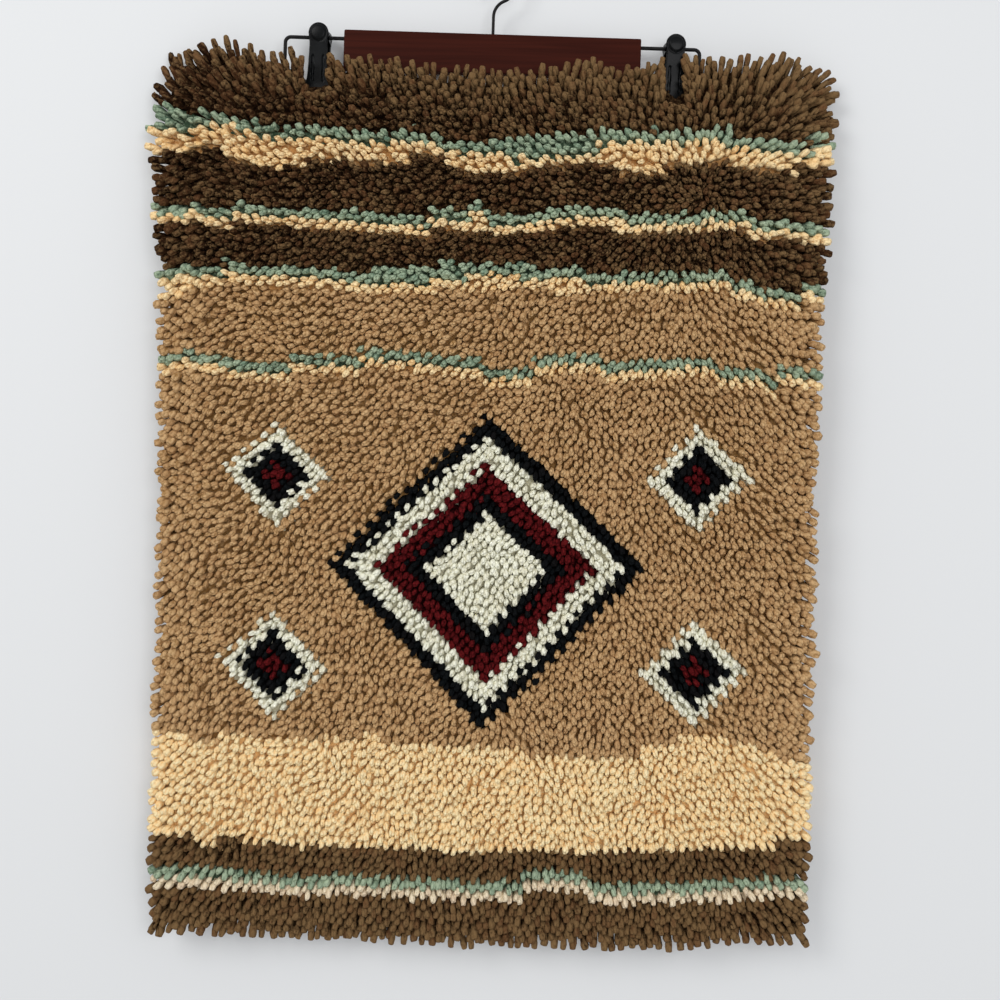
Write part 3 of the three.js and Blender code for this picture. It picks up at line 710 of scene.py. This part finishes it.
def wool_group():
    """Colour and relief of wool: painted shade towards the foot deep in the pile and lit tips that
    are also a little worn paler, painted highlights and shade on the twisted plies, mixed fibres and
    odd strands.
    """
    inputs = {
        "Color": ["Shaded", "Lit", "Odd"],
        "Float": ["Unevenness", "Fibre size", "Fleck", "Oddness", "Heather", "Ply twist"],
    }
    outputs = {"Color": ["Color"], "Float": ["Height"]}
    group, given = new_group("worn and shaded wool", "ShaderNodeTree", inputs, outputs)
    sum_of = partial(math_node, group)
    place = own_place(group)

    def attribute(label, output="Fac"):
        made = group.nodes.new("ShaderNodeAttribute")
        made.attribute_name = label
        return made.outputs[output]

    def noise(scale, detail):
        inputs = {"Scale": scale, "Detail": detail, "Roughness": 0.65, "Vector": place}
        return sum_of("SUBTRACT", new_node(group, "ShaderNodeTexNoise", inputs).outputs["Fac"], 0.5)

    # Three plies run round the strand: a painted highlight along their backs and painted shade
    # between them, which also give their relief.
    around = new_node(group, "ShaderNodeSeparateXYZ", {0: attribute("round", "Vector")})
    angle = sum_of("ARCTAN2", around.outputs["Y"], around.outputs["X"])
    phase = sum_of("MULTIPLY_ADD", attribute("along"), given["Ply twist"], angle)
    ply = sum_of("ABSOLUTE", sum_of("SINE", sum_of("MULTIPLY", phase, 1.5)))

    fibres = noise(sum_of("DIVIDE", 1, given["Fibre size"]), 4)
    # Painted shade: a tuft's colour runs from Shaded at its foot to Lit at its tip, whose wool is
    # also a little worn paler.
    tip = sum_of("POWER", attribute("along"), 1.8)
    own = sum_of("MULTIPLY", sum_of("SUBTRACT", attribute("shade"), 0.5), given["Unevenness"])
    fleck = sum_of("MULTIPLY", fibres, given["Fleck"])
    faded = sum_of("MULTIPLY", noise(14, 3), 0.6)
    share = sum_of("ADD", sum_of("ADD", tip, own), sum_of("ADD", fleck, faded))
    share = sum_of("MULTIPLY_ADD", sum_of("SUBTRACT", ply, 0.8), 0.5, share)
    heather = sum_of("MULTIPLY", sum_of("MAXIMUM", noise(300, 2), 0), given["Heather"])
    odd = sum_of("MULTIPLY_ADD", attribute("tint"), given["Oddness"], heather)
    colour = colour_mix(group, share, given["Shaded"], given["Lit"])
    colour = colour_mix(group, odd, colour, given["Odd"])
    height = sum_of("MULTIPLY_ADD", ply, 0.5, fibres)
    new_node(group, "NodeGroupOutput", {"Color": colour, "Height": height})
    return group


worn_and_shaded_wool = wool_group()
YARNS = {  # each wool in painted shade deep in the pile, at its lit tips and in odd strands; uneven, heathered
    "brown": (linear(30, 16, 7), linear(124, 98, 66), linear(100, 66, 42), 0.9, 2),
    "tan": (linear(146, 108, 62), linear(208, 172, 126), linear(168, 126, 84), 0.5, 1.5),
    "straw": (linear(250, 202, 138), linear(255, 236, 190), linear(250, 208, 144), 0.4, 1),
    "cream": (linear(186, 136, 82), linear(255, 230, 180), linear(250, 200, 130), 0.5, 1),
    "ecru": (linear(206, 186, 154), linear(246, 230, 200), linear(220, 190, 160), 0.5, 1),
    "green": (linear(60, 78, 60), linear(172, 188, 160), linear(104, 132, 112), 0.7, 2),
    "white": (linear(206, 200, 172), linear(252, 252, 234), linear(232, 226, 198), 0.4, 1),
    "black": (linear(5, 6, 7), linear(17, 20, 22), linear(24, 20, 20), 0.6, 1),
    "oxblood": (linear(36, 6, 8), linear(100, 24, 26), linear(60, 10, 14), 0.6, 2),
}


def wool_material(name, shaded, lit, odd, unevenness, heather):
    looks = {"Roughness": 0.95, "Specular IOR Level": 0.04}
    made, tree, shader = finish_material(name + " wool", looks)
    wool = tree.nodes.new("ShaderNodeGroup")
    wool.node_tree = worn_and_shaded_wool
    set_inputs(tree, wool, {
        "Shaded": shaded, "Lit": lit, "Odd": odd, "Unevenness": unevenness, "Heather": heather,
        "Fibre size": 0.0022, "Fleck": 3.2, "Oddness": 0.5, "Ply twist": math.radians(430),
    })
    tree.links.new(wool.outputs["Color"], shader.inputs["Base Color"])
    relief(tree, shader, wool.outputs["Height"], 1.0, 0.0018)
    return made


CUT_TUFT = ((0, 0.62), (0.57, 0.84), (0.87, 1), (0.98, 0.78), (1, 0.42))
TIP_PALENESS = {  # for each wool, shares of the way down, and how pale its tips are there
    "brown": (
        (0, 0.95), (0.02, 0.6), (0.04, 0.1), (0.1, -0.1),
        (0.27, -0.05), (0.32, 0.5), (0.84, 0.85), (1, 0.95),
    ),
    "tan": ((0.3, 0.4), (0.6, 0.5), (0.8, 0.8)),
    "green": ((0, 0.5), (0.9, 0.6), (0.94, 1.1)),
}
tuft_tree = yarn_tree("cut tuft", CUT_TUFT)
yarn_at = np.repeat(stripe_of[..., None], 2, axis=2)
paled = np.full(shape, 0.5)
for yarn, table in TIP_PALENESS.items():
    paled = np.where(yarn_at == yarn, down_table(table, tip_down), paled)
# The tips are paler towards the right, the more so near the top.
paler_to_right = np.where(tip_across > 0, 2.4, 1.2) * tip_across / CANVAS_WIDE
paled = paled + paler_to_right * near(tip_down, 70)
shade = np.clip(paled + dice.normal(0, 0.24, shape), -0.3, 1.2)
thinned = 0.32 * near(tip_down, 18) + 0.12 * near(CANVAS_TALL - tip_down, 8)  # by wear
girth = dice.normal(1.12, 0.08, shape) - thinned
turn = dice.uniform(0, 2 * math.pi, shape)
tint = dice.uniform(0, 1, shape) ** 3
wools = {name: wool_material(name, *looks) for name, looks in YARNS.items()}

PARTS = {"tan": (("tan_upper", 0, 51), ("tan_lower", 51, ROWS))}  # one wool, two meshes
for yarn in YARNS:
    for part, first_row, last_row in PARTS.get(yarn, ((yarn, 0, ROWS),)):
        chosen = (yarn_at == yarn) & ~crushed
        chosen &= (row_at[..., None] >= first_row) & (row_at[..., None] < last_row)
        tufts = grown(
            "pile_" + part,
            tuft_tree,
            feet[chosen] * MM,
            {
                "start": feet[chosen] * MM, "bend": bends[chosen] * MM, "end": tips[chosen] * MM,
                "shade": shade[chosen], "tint": tint[chosen],
                "girth": girth[chosen], "turn": turn[chosen], "flat": flat[chosen],
            },
            {
                "Yarn width": YARN_WIDE * MM, "Rings": 5, "Ring crowding": 2.9, "Plies": 3,
                "Ply depth": 0.12, "Twist": math.radians(120), "Lumps": 1.3 * MM, "Cut ends": True,
                "Yarn": wools[yarn],
            },
        )
        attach(tufts, "root")
        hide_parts("pile")

# Below their tips the tufts' loose fibres close up, so that wool shows in each crease. The pad
# of that fleece lies lower at the edges, where the tufts stand free, and ends at the jaws.
FLEECE_HIGH = 0.67  # share of the tufts' length
FLEECE_LOOKS = {"along": 0.2, "shade": 0.5}  # as deep in the pile, so mostly in its painted shade, and of an even colour
knot_from_side = (CANVAS_WIDE / 2 - np.abs(knot_across))[..., 0]
knot_from_edge = np.minimum(knot_from_side, np.minimum(knot_down, CANVAS_TALL - knot_down)[..., 0])
high = FLEECE_HIGH - 0.3 * near(knot_from_edge, 8)
high = np.where(crushed.any(axis=2), 0.1, high)[..., None]
knot_feet = feet.mean(axis=2)
fleece_front = knot_feet + high * (tips.mean(axis=2) - knot_feet)
for _ in range(2):
    inner = fleece_front[1:-1, 1:-1]
    around = fleece_front[:-2, 1:-1] + fleece_front[2:, 1:-1]
    around = around + fleece_front[1:-1, :-2] + fleece_front[1:-1, 2:]
    fleece_front[1:-1, 1:-1] = 0.5 * inner + 0.125 * around
fleece_points, fleece_faces = closed_sheet(fleece_front, knot_feet)
fleece = plain_mesh("pile_fleece", fleece_points * MM, fleece_faces, wools["brown"])
for yarn in list(wools)[1:]:
    fleece.data.materials.append(wools[yarn])
wool_of = np.array([list(wools).index(yarn) for yarn in stripe_of.ravel()])
face_wools = [wool_of[face[0] % len(wool_of)] for face in fleece_faces]
fleece.data.polygons.foreach_set("material_index", face_wools)
fleece.data.shade_smooth()
for label, value in FLEECE_LOOKS.items():
    kept = fleece.data.attributes.new(label, "FLOAT", "POINT").data
    kept.foreach_set("value", [value] * len(kept))
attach(fleece, "root")
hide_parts("pile")

# --------------------------------------------------------------------------- the knots' backs
# From behind, each knot is the loop of its yarn: two short strands side by side that hold the
# weft from hole to hole. The hem covers those near the edges.

LOOP_WIDE = 3.3
LOOP_REACH = 0.47  # share of a hole that each strand runs above and below its weft
LOOP_PROUD = 3.4  # how far a strand's control point stands behind the canvas
LOOP_TAPER = ((0, 0.72), (0.5, 1.0), (1, 0.72))
LOOP_ALONG = 0.75  # it is coloured like the upper part of a tuft, partly in its painted shade

inset = HEM_WIDE + HOLE_TALL / 2
shows = (np.abs(knot_across) < CANVAS_WIDE / 2 - inset) & (knot_down > inset)
shows = (shows & (knot_down < CANVAS_TALL - inset))[..., 0]
loop_across = (knot_across + side * LOOP_WIDE * 0.52 + dice.normal(0, 0.18, shape))[shows].ravel()
loop_down = (knot_down + dice.normal(0, 0.25, shape))[shows].ravel()
loop_yarn = yarn_at[shows].ravel()
loop_shade, loop_tint = shade[shows].ravel(), tint[shows].ravel()
loop_girth = dice.normal(1, 0.07, loop_down.shape)
loop_turn = dice.uniform(0, 2 * math.pi, loop_down.shape)
loop_lean = dice.normal(0, 0.25, loop_down.shape)
loop_out = facing(loop_across, loop_down)[2]
loop_back = hang(loop_across, loop_down) - loop_out * (CANVAS_THICK / 2 + LOOP_PROUD)
loop_ends = [
    hang(loop_across + way * loop_lean, loop_down + way * HOLE_TALL * LOOP_REACH) for way in (-1, 1)
]

loop_tree = yarn_tree("knot loop", LOOP_TAPER)
for yarn, wool in wools.items():
    chosen = loop_yarn == yarn
    loops = grown(
        "loops_" + yarn,
        loop_tree,
        loop_back[chosen] * MM,
        {
            "start": loop_ends[0][chosen] * MM, "bend": loop_back[chosen] * MM,
            "end": loop_ends[1][chosen] * MM, "shade": loop_shade[chosen],
            "tint": loop_tint[chosen], "girth": loop_girth[chosen], "turn": loop_turn[chosen],
        },
        {
            "Yarn width": LOOP_WIDE * MM, "Rings": 3, "Ring crowding": 1.0, "Plies": 2,
            "Ply depth": 0.12, "Twist": math.radians(120), "Lumps": 0.0, "Cut ends": False,
            "Yarn": wool,
        },
    )
    along = loops.data.attributes["along"].data
    along.foreach_set("value", np.full(len(along), LOOP_ALONG))
    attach(loops, "root")

# --------------------------------------------------------------------------- the board
# The skirt hanger's crossbar: a flat hardwood strip with eased edges, stained deep red, with
# a dull seal. It is drilled at its ends for the two wire arms and from above for the hook.

BOARD_WIDE = 243
BOARD_TALL = 32
BOARD_THICK = 9
BOARD_CORNER = 1.2
BOARD_EASE = 0.9

spring_boxes = [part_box(f"clip_{clip_side}_spring") for clip_side in ("left", "right")]
pivots = [(Vector(low) + Vector(high)) / 2 for low, high in spring_boxes]
hanger_tilt = math.atan2(pivots[0].z - pivots[1].z, pivots[1].x - pivots[0].x)
hanger_turn = Matrix.Rotation(hanger_tilt, 4, "Y")
board_low, board_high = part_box("board")
board_middle = (Vector(board_low) + Vector(board_high)) / 2 / MM


def placed_mesh(name, points, faces, material, place, crease=40):
    """A mesh drawn in mm round its own middle, put where it belongs, with soft shading."""
    made = plain_mesh(name, [place @ Vector(point) * MM for point in points], faces, material)
    made.data.shade_smooth()
    made.data.set_sharp_from_angle(angle=math.radians(crease))
    return made


def rounded_outline(wide, tall, corner, steps=5):
    """Points anticlockwise round a rectangle with round corners."""
    points = []
    for quarter, (right_side, upper) in enumerate(((1, -1), (1, 1), (-1, 1), (-1, -1))):
        for turn in np.linspace(quarter - 1, quarter, steps) * math.pi / 2:
            points.append((
                right_side * (wide / 2 - corner) + corner * math.cos(turn),
                upper * (tall / 2 - corner) + corner * math.sin(turn),
            ))
    return points


def eased_board():
    """Outlines stacked from front to back, drawn in a little where the edges are sanded."""
    points, faces = [], []
    levels = [(-1, turn) for turn in (90, 60, 30, 0)] + [(1, turn) for turn in (0, 30, 60, 90)]
    for way, turn in levels:
        drawn = BOARD_EASE * (1 - math.cos(math.radians(turn)))
        depth = way * (BOARD_THICK / 2 - BOARD_EASE * (1 - math.sin(math.radians(turn))))
        wide, tall = BOARD_WIDE - 2 * drawn, BOARD_TALL - 2 * drawn
        points += [(x, depth, z) for x, z in rounded_outline(wide, tall, BOARD_CORNER - drawn)]
    round_count = len(points) // len(levels)
    for level in range(len(levels) - 1):
        for k in range(round_count):
            here, after = level * round_count + k, level * round_count + (k + 1) % round_count
            faces.append((here, here + round_count, after + round_count, after))
    faces.append(tuple(range(round_count)))
    faces.append(tuple(range(len(points) - 1, len(points) - 1 - round_count, -1)))
    return points, faces


def mottled(tree, scale, detail=2, stretch=(1, 1, 1), distortion=0):
    """A noise mask on a piece's own coordinates, finer along the axes that are stretched."""
    inputs = {"Scale": stretch, "Vector": own_place(tree)}
    place = new_node(tree, "ShaderNodeMapping", inputs).outputs[0]
    inputs = {"Scale": scale, "Detail": detail, "Distortion": distortion, "Vector": place}
    return new_node(tree, "ShaderNodeTexNoise", inputs).outputs["Fac"]


def follow_mask(tree, shader, mask, low, high, gloss):
    """Colour and roughness that go with a mask from its low level to its high one."""
    ramp = new_node(tree, "ShaderNodeValToRGB", {"Fac": mask})
    for stop, (level, colour) in zip(ramp.color_ramp.elements, (low, high)):
        stop.position = level
        stop.color = linear(*colour)
    inputs = {"Value": mask, "To Min": gloss[0], "To Max": gloss[1]}
    rough = new_node(tree, "ShaderNodeMapRange", inputs).outputs["Result"]
    set_inputs(tree, shader, {"Base Color": ramp.outputs["Color"], "Roughness": rough})
    return ramp.outputs["Color"]


def stained_wood():
    """Dark red stain over straight grain, rubbed paler along the sanded edges."""
    made, tree, shader = finish_material("stained wood", {"Specular IOR Level": 0.03})
    grain = mottled(tree, 1, 6, stretch=(9, 260, 330), distortion=0.6)
    stain = follow_mask(tree, shader, grain, (0.3, (44, 17, 12)), (0.72, (60, 25, 18)), (0.45, 0.65))
    edge = tree.nodes.new("ShaderNodeNewGeometry").outputs["Pointiness"]
    inputs = {"Value": edge, "From Min": 0.52, "From Max": 0.62, "To Max": 0.35}
    rubbed = new_node(tree, "ShaderNodeMapRange", inputs).outputs["Result"]
    worn = colour_mix(tree, rubbed, stain, linear(90, 40, 28))
    tree.links.new(worn, shader.inputs["Base Color"])
    relief(tree, shader, grain, 0.25, 0.0003)
    return made


board_place = Matrix.Translation(board_middle) @ hanger_turn
board = placed_mesh("hanger_board", *eased_board(), stained_wood(), board_place)
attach(board, "root")
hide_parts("board")

# --------------------------------------------------------------------------- the wires
# Two arms of 3 mm wire that the clips slide on, each bent down at its end so that they stay
# on, and a thinner hook with a round crook. Both are bent cold and lacquered black.

ARM_WIRE = 3
HOOK_WIRE = 2.6
ARM_REACH = 170
ARM_BEND = 4.5
ARM_LEG = 20
ARM_IN_BOARD = 60
CROOK_INSIDE = 18
CROOK_START, CROOK_END = -65, 200  # degrees round from the right-hand side
STEM_BEND = 14.1
STEM_IN_BOARD = 22


def bend_points(centre_x, centre_z, radius, first, last, steps):
    """Points round a bend in the hanger's plane, angles in degrees from right to up."""
    turns = np.radians(np.linspace(first, last, steps))
    return [
        (centre_x + radius * math.cos(turn), 0, centre_z + radius * math.sin(turn)) for turn in turns
    ]


def bent_wire(name, route, thick, material, place, sides=3):
    """Round wire along a route in mm, its two ends ground round."""
    ends = []
    for tip, inner in ((route[0], route[1]), (route[-1], route[-2])):
        inward = (Vector(inner) - Vector(tip)).normalized() * thick / 2
        ends.append([
            (Vector(tip) + inward * (1 - math.cos(turn * math.pi / 2)), math.sin(turn * math.pi / 2))
            for turn in (0.02, 0.3, 0.6, 1)
        ])
    stations = ends[0] + [(Vector(point), 1) for point in route[1:-1]] + ends[1][::-1]
    drawn = bpy.data.curves.new(name, "CURVE")
    drawn.dimensions = "3D"
    drawn.twist_mode = "MINIMUM"
    drawn.bevel_depth = thick / 2 * MM
    drawn.bevel_resolution = sides
    drawn.use_fill_caps = True
    spline = drawn.splines.new("POLY")
    spline.points.add(len(stations) - 1)
    for point, (where, girth_there) in zip(spline.points, stations):
        point.co = (*(place @ where * MM), 1)
        point.radius = girth_there
    drawn.materials.append(material)
    sketch = bpy.data.objects.new(name, drawn)
    mesh = bpy.data.meshes.new_from_object(sketch)
    bpy.data.objects.remove(sketch)
    mesh.name = name
    mesh.shade_smooth()
    made = bpy.data.objects.new(name, mesh)
    bpy.context.scene.collection.objects.link(made)
    return made


def lacquered_wire():
    """Thin black lacquer over steel, uneven in gloss and dusty."""
    made, tree, shader = finish_material("black lacquered wire", {"Specular IOR Level": 0.1})
    dust = mottled(tree, 220, 4)
    follow_mask(tree, shader, dust, (0, (9, 9, 10)), (1, (34, 33, 33)), (0.28, 0.55))
    return made


wire_black = lacquered_wire()
arm_middle = (pivots[0] + pivots[1]) / 2 / MM
arm_drop = hanger_turn.inverted() @ arm_middle
for arm_side, way in (("left", -1), ("right", 1)):
    bend = bend_points(ARM_REACH - ARM_BEND, arm_drop.z - ARM_BEND, ARM_BEND, 90, 0, 9)
    straight = [(BOARD_WIDE / 2 - ARM_IN_BOARD, 0, arm_drop.z), (BOARD_WIDE / 2, 0, arm_drop.z)]
    route = straight + bend + [(ARM_REACH, 0, arm_drop.z - ARM_LEG)]
    route = [(way * x, y, z) for x, y, z in route]
    arm = bent_wire("hanger_arm_" + arm_side, route, ARM_WIRE, wire_black, hanger_turn)
    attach(arm, "root")
    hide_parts("arm_" + arm_side)

crook_radius = CROOK_INSIDE + HOOK_WIRE / 2
crook = bend_points(0, -CROOK_INSIDE, crook_radius, CROOK_START, CROOK_END, 48)
stem_turn = 90 + CROOK_START
stem_bend_z = crook[0][2] - STEM_BEND * math.cos(math.radians(stem_turn))
stem = bend_points(STEM_BEND, stem_bend_z, STEM_BEND, 180, 90 + stem_turn, 12)
board_top = (hanger_turn.inverted() @ board_middle).z + BOARD_TALL / 2
stem_foot = (0, 0, board_top - STEM_IN_BOARD)
hook = bent_wire("hanger_hook", [stem_foot] + stem[:-1] + crook, HOOK_WIRE, wire_black, hanger_turn)
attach(hook, "root")
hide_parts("hook")

# --------------------------------------------------------------------------- the clips
# Each clip is a pair of moulded black levers on the arm, front and back. A lever has a round
# thumb button, a waist, two long grooves and a broad jaw, and ears behind that carry it.

LEVER = (  # height from the arm, width, how far forward its middle lies, thickness
    (-48.5, 22.9, 3.15, 2.5), (-45.5, 22.6, 3.4, 3.0), (-39, 20.6, 3.4, 3.0), (-33, 18.4, 4.1, 2.9),
    (-26, 17.0, 4.9, 2.8), (-14, 15.4, 5.9, 2.8), (-6.3, 14.6, 6.8, 2.8), (1.4, 16.6, 7.6, 2.6),
)
HEAD_HEIGHT, HEAD_ROUND = 1.4, 8.3
BUTTON_ROUND, BUTTON_PROUD, BUTTON_DOME = 6.6, 0.9, 0.5
MOAT_DEEP, MOAT_WIDE = 0.3, 0.4  # round the button
GROOVE_ACROSS = 4.3
GROOVE_TOP, GROOVE_BOTTOM = -17.2, -36.2
GROOVE_HALF, GROOVE_DEEP = 1.2, 1.2
EDGE_EASE = 0.9
EAR_ROUND, EAR_BORE, EAR_THICK = 4.1, 2.45, 1.6
EAR_FOOT = [(-7.2, 3.4), (-6.9, -0.8), (-6.6, -5)]  # depth and height where it enters the lever
EAR_PLACES = {"front": 5, "back": 7}  # so that one lever's ears pass inside the other's


def lever_rows():
    """The lever's heights, with its width, forward place and thickness at each, eased."""
    table = np.array(LEVER)
    shank = np.linspace(table[0, 0], HEAD_HEIGHT, 80)
    fields = [np.interp(shank, table[:, 0], table[:, k]) for k in (1, 2, 3)]
    reach = 4  # rows either side that a row is eased over
    padded = [np.pad(field, reach, mode="reflect", reflect_type="odd") for field in fields]
    kernel = np.hanning(2 * reach + 3)[1:-1]
    fields = [np.convolve(field, kernel / kernel.sum(), mode="valid") for field in padded]
    turns = np.radians(np.linspace(0, 86, 15)[1:])
    dome = HEAD_HEIGHT + HEAD_ROUND * np.sin(turns)
    ends = (
        2 * HEAD_ROUND * np.cos(turns),
        np.full(len(turns), fields[1][-1]) + 0.6 * np.sin(turns),
        fields[2][-1] * (1 - 0.25 * np.sin(turns)),
    )
    return np.concatenate([shank, dome]), *(np.concatenate(pair) for pair in zip(fields, ends))


def lever_relief(across, height):
    """How far the outer face stands proud: the convex button, its rim, and the two grooves."""
    from_button = np.hypot(across, height - HEAD_HEIGHT)
    button = BUTTON_PROUD * (1 - smooth(from_button, BUTTON_ROUND - 1.5, BUTTON_ROUND))
    button = button + BUTTON_DOME * np.clip(1 - (from_button / BUTTON_ROUND) ** 2, 0, 1)
    moat = -MOAT_DEEP * np.exp(-(((from_button - BUTTON_ROUND - MOAT_WIDE) / MOAT_WIDE) ** 2))
    along = np.clip(height, GROOVE_BOTTOM, GROOVE_TOP)
    from_groove = np.hypot(np.abs(across) - GROOVE_ACROSS, height - along)
    groove = -GROOVE_DEEP * (1 - smooth(from_groove, GROOVE_HALF - 0.5, GROOVE_HALF))
    return button + moat + groove


def moulded_lever(ear_place):
    """One lever as a closed shell with rounded edges, and its two ears let into its back."""
    heights, wides, forwards, thicks = lever_rows()
    spread = np.linspace(-1, 1, 43)
    front_u = 0.7 * spread + 0.3 * np.sin(spread * math.pi / 2)
    back_u = np.array([-0.9, -0.5, 0, 0.5, 0.9])
    faces = []

    def layer(u, outward):
        """Points of a face, row by row from the jaw up, each row across the lever."""
        across = u[None, :] * wides[:, None] / 2
        height = np.repeat(heights[:, None], len(u), axis=1)
        inside = wides[:, None] / 2 - np.abs(across)
        head = HEAD_ROUND - np.hypot(across, height - HEAD_HEIGHT)
        inside = np.where(height > HEAD_HEIGHT, head, inside)
        inside = np.minimum(inside, height - heights[0] + 0.15)
        share = np.clip(inside / EDGE_EASE, 0, 1)
        half = thicks[:, None] / 2 * np.sqrt(np.clip(1 - (1 - share) ** 2, 0, 1))
        proud = lever_relief(across, height) * share if outward > 0 else 0
        forward = forwards[:, None] + outward * half + proud
        return np.stack([across, -forward, height], axis=-1)

    front, back = layer(front_u, 1), layer(back_u, -1)
    rows, wide_count, back_count = len(heights), len(front_u), len(back_u)
    points = np.concatenate([front.reshape(-1, 3), back.reshape(-1, 3)]).tolist()
    back_start = rows * wide_count

    def back_line(row):
        """A row's points behind, from its left edge to its right one, which the front shares."""
        middle = range(back_start + row * back_count, back_start + (row + 1) * back_count)
        return [row * wide_count, *middle, (row + 1) * wide_count - 1]

    for row in range(rows - 1):
        for k in range(wide_count - 1):
            a = row * wide_count + k
            faces.append((a, a + 1, a + 1 + wide_count, a + wide_count))
        lower, upper = back_line(row), back_line(row + 1)
        for k in range(back_count + 1):
            faces.append((lower[k], upper[k], upper[k + 1], lower[k + 1]))
    for row, upwards in ((0, False), (rows - 1, True)):
        front_line = list(range(row * wide_count, (row + 1) * wide_count))
        ring = front_line + back_line(row)[-2:0:-1]
        faces.append(tuple(ring if upwards else ring[::-1]))

    for way in (-1, 1):
        turns = np.radians(np.linspace(-70, 110, 15))
        outline = [(EAR_ROUND * math.cos(turn), EAR_ROUND * math.sin(turn)) for turn in turns]
        outline += EAR_FOOT
        count = len(outline)
        start = len(points)
        for x in (way * ear_place - EAR_THICK / 2, way * ear_place + EAR_THICK / 2):
            points += [(x, y, z) for y, z in outline]
            for y, z in outline:
                scale = EAR_BORE / math.hypot(y, z)
                points.append((x, y * scale, z * scale))
        for k in range(count):
            after = (k + 1) % count
            near_outer, near_bore, far_outer, far_bore = (start + n * count for n in range(4))
            faces.append((near_outer + after, near_outer + k, near_bore + k, near_bore + after))
            faces.append((far_outer + k, far_outer + after, far_bore + after, far_bore + k))
            faces.append((near_outer + k, near_outer + after, far_outer + after, far_outer + k))
            faces.append((near_bore + after, near_bore + k, far_bore + k, far_bore + after))
    return points, faces


def clip_plastic():
    """Glossy black moulded plastic, with fine handling scratches and a little dust."""
    made, tree, shader = finish_material("black clip plastic", {"Specular IOR Level": 0.1})
    smudge = mottled(tree, 90, 5)
    follow_mask(tree, shader, smudge, (0.35, (4, 5, 6)), (0.8, (16, 18, 20)), (0.16, 0.4))
    relief(tree, shader, mottled(tree, 1, stretch=(1400, 1400, 90)), 0.12, 0.0001)
    return made


lever_black = clip_plastic()
clip_swing = math.atan(2 * TOP_BOW / CLIP_HALF_SPAN)  # each clip turns to follow the bow
clip_turns = {}
for (clip_side, way), pivot in zip((("left", -1), ("right", 1)), pivots):
    swung = Matrix.Rotation(way * clip_swing, 4, "Z")
    clip_turns[clip_side] = Matrix.Translation(pivot / MM) @ hanger_turn @ swung
    for face_side, half_turn in (("front", 0), ("back", math.pi)):
        lever_place = clip_turns[clip_side] @ Matrix.Rotation(half_turn, 4, "Z")
        lever = placed_mesh(
            f"clip_{clip_side}_{face_side}_lever",
            *moulded_lever(EAR_PLACES[face_side]),
            lever_black,
            lever_place,
            crease=50,
        )
        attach(lever, "root")
        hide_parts(f"clip_{clip_side}_{face_side}")

# --------------------------------------------------------------------------- the springs
# A coil of bright spring wire round the arm inside each clip. Its two legs press the heads of
# the levers apart, which closes the jaws.

SPRING_WIRE = 1.3
SPRING_ROUND = 2.85
SPRING_TURNS = 4.6
SPRING_LONG = 6.4
LEG_HEIGHT = 7
LEG_REACH = 5.2


def spring_route():
    """From one leg's tip, down into the coil, round it, and up to the other leg's tip."""
    share = np.linspace(0, 1, int(SPRING_TURNS * 18))
    turns = math.pi + share * SPRING_TURNS * 2 * math.pi
    coil = [
        (SPRING_LONG * (part - 0.5), SPRING_ROUND * math.cos(turn), SPRING_ROUND * math.sin(turn))
        for part, turn in zip(share, turns)
    ]
    first = (coil[0][0], -LEG_REACH, LEG_HEIGHT)
    last = (coil[-1][0], LEG_REACH, LEG_HEIGHT)
    return [first, *coil, last]


def bright_steel():
    made, tree, shader = finish_material("spring wire", {"Metallic": 1.0})
    drawn = mottled(tree, 400)
    follow_mask(tree, shader, drawn, (0, (150, 150, 146)), (1, (206, 206, 200)), (0.18, 0.36))
    return made


steel = bright_steel()
for clip_side, clip_place in clip_turns.items():
    name = f"clip_{clip_side}_spring"
    spring = bent_wire(name + "_coil", spring_route(), SPRING_WIRE, steel, clip_place, sides=2)
    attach(spring, "root")
    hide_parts(name)
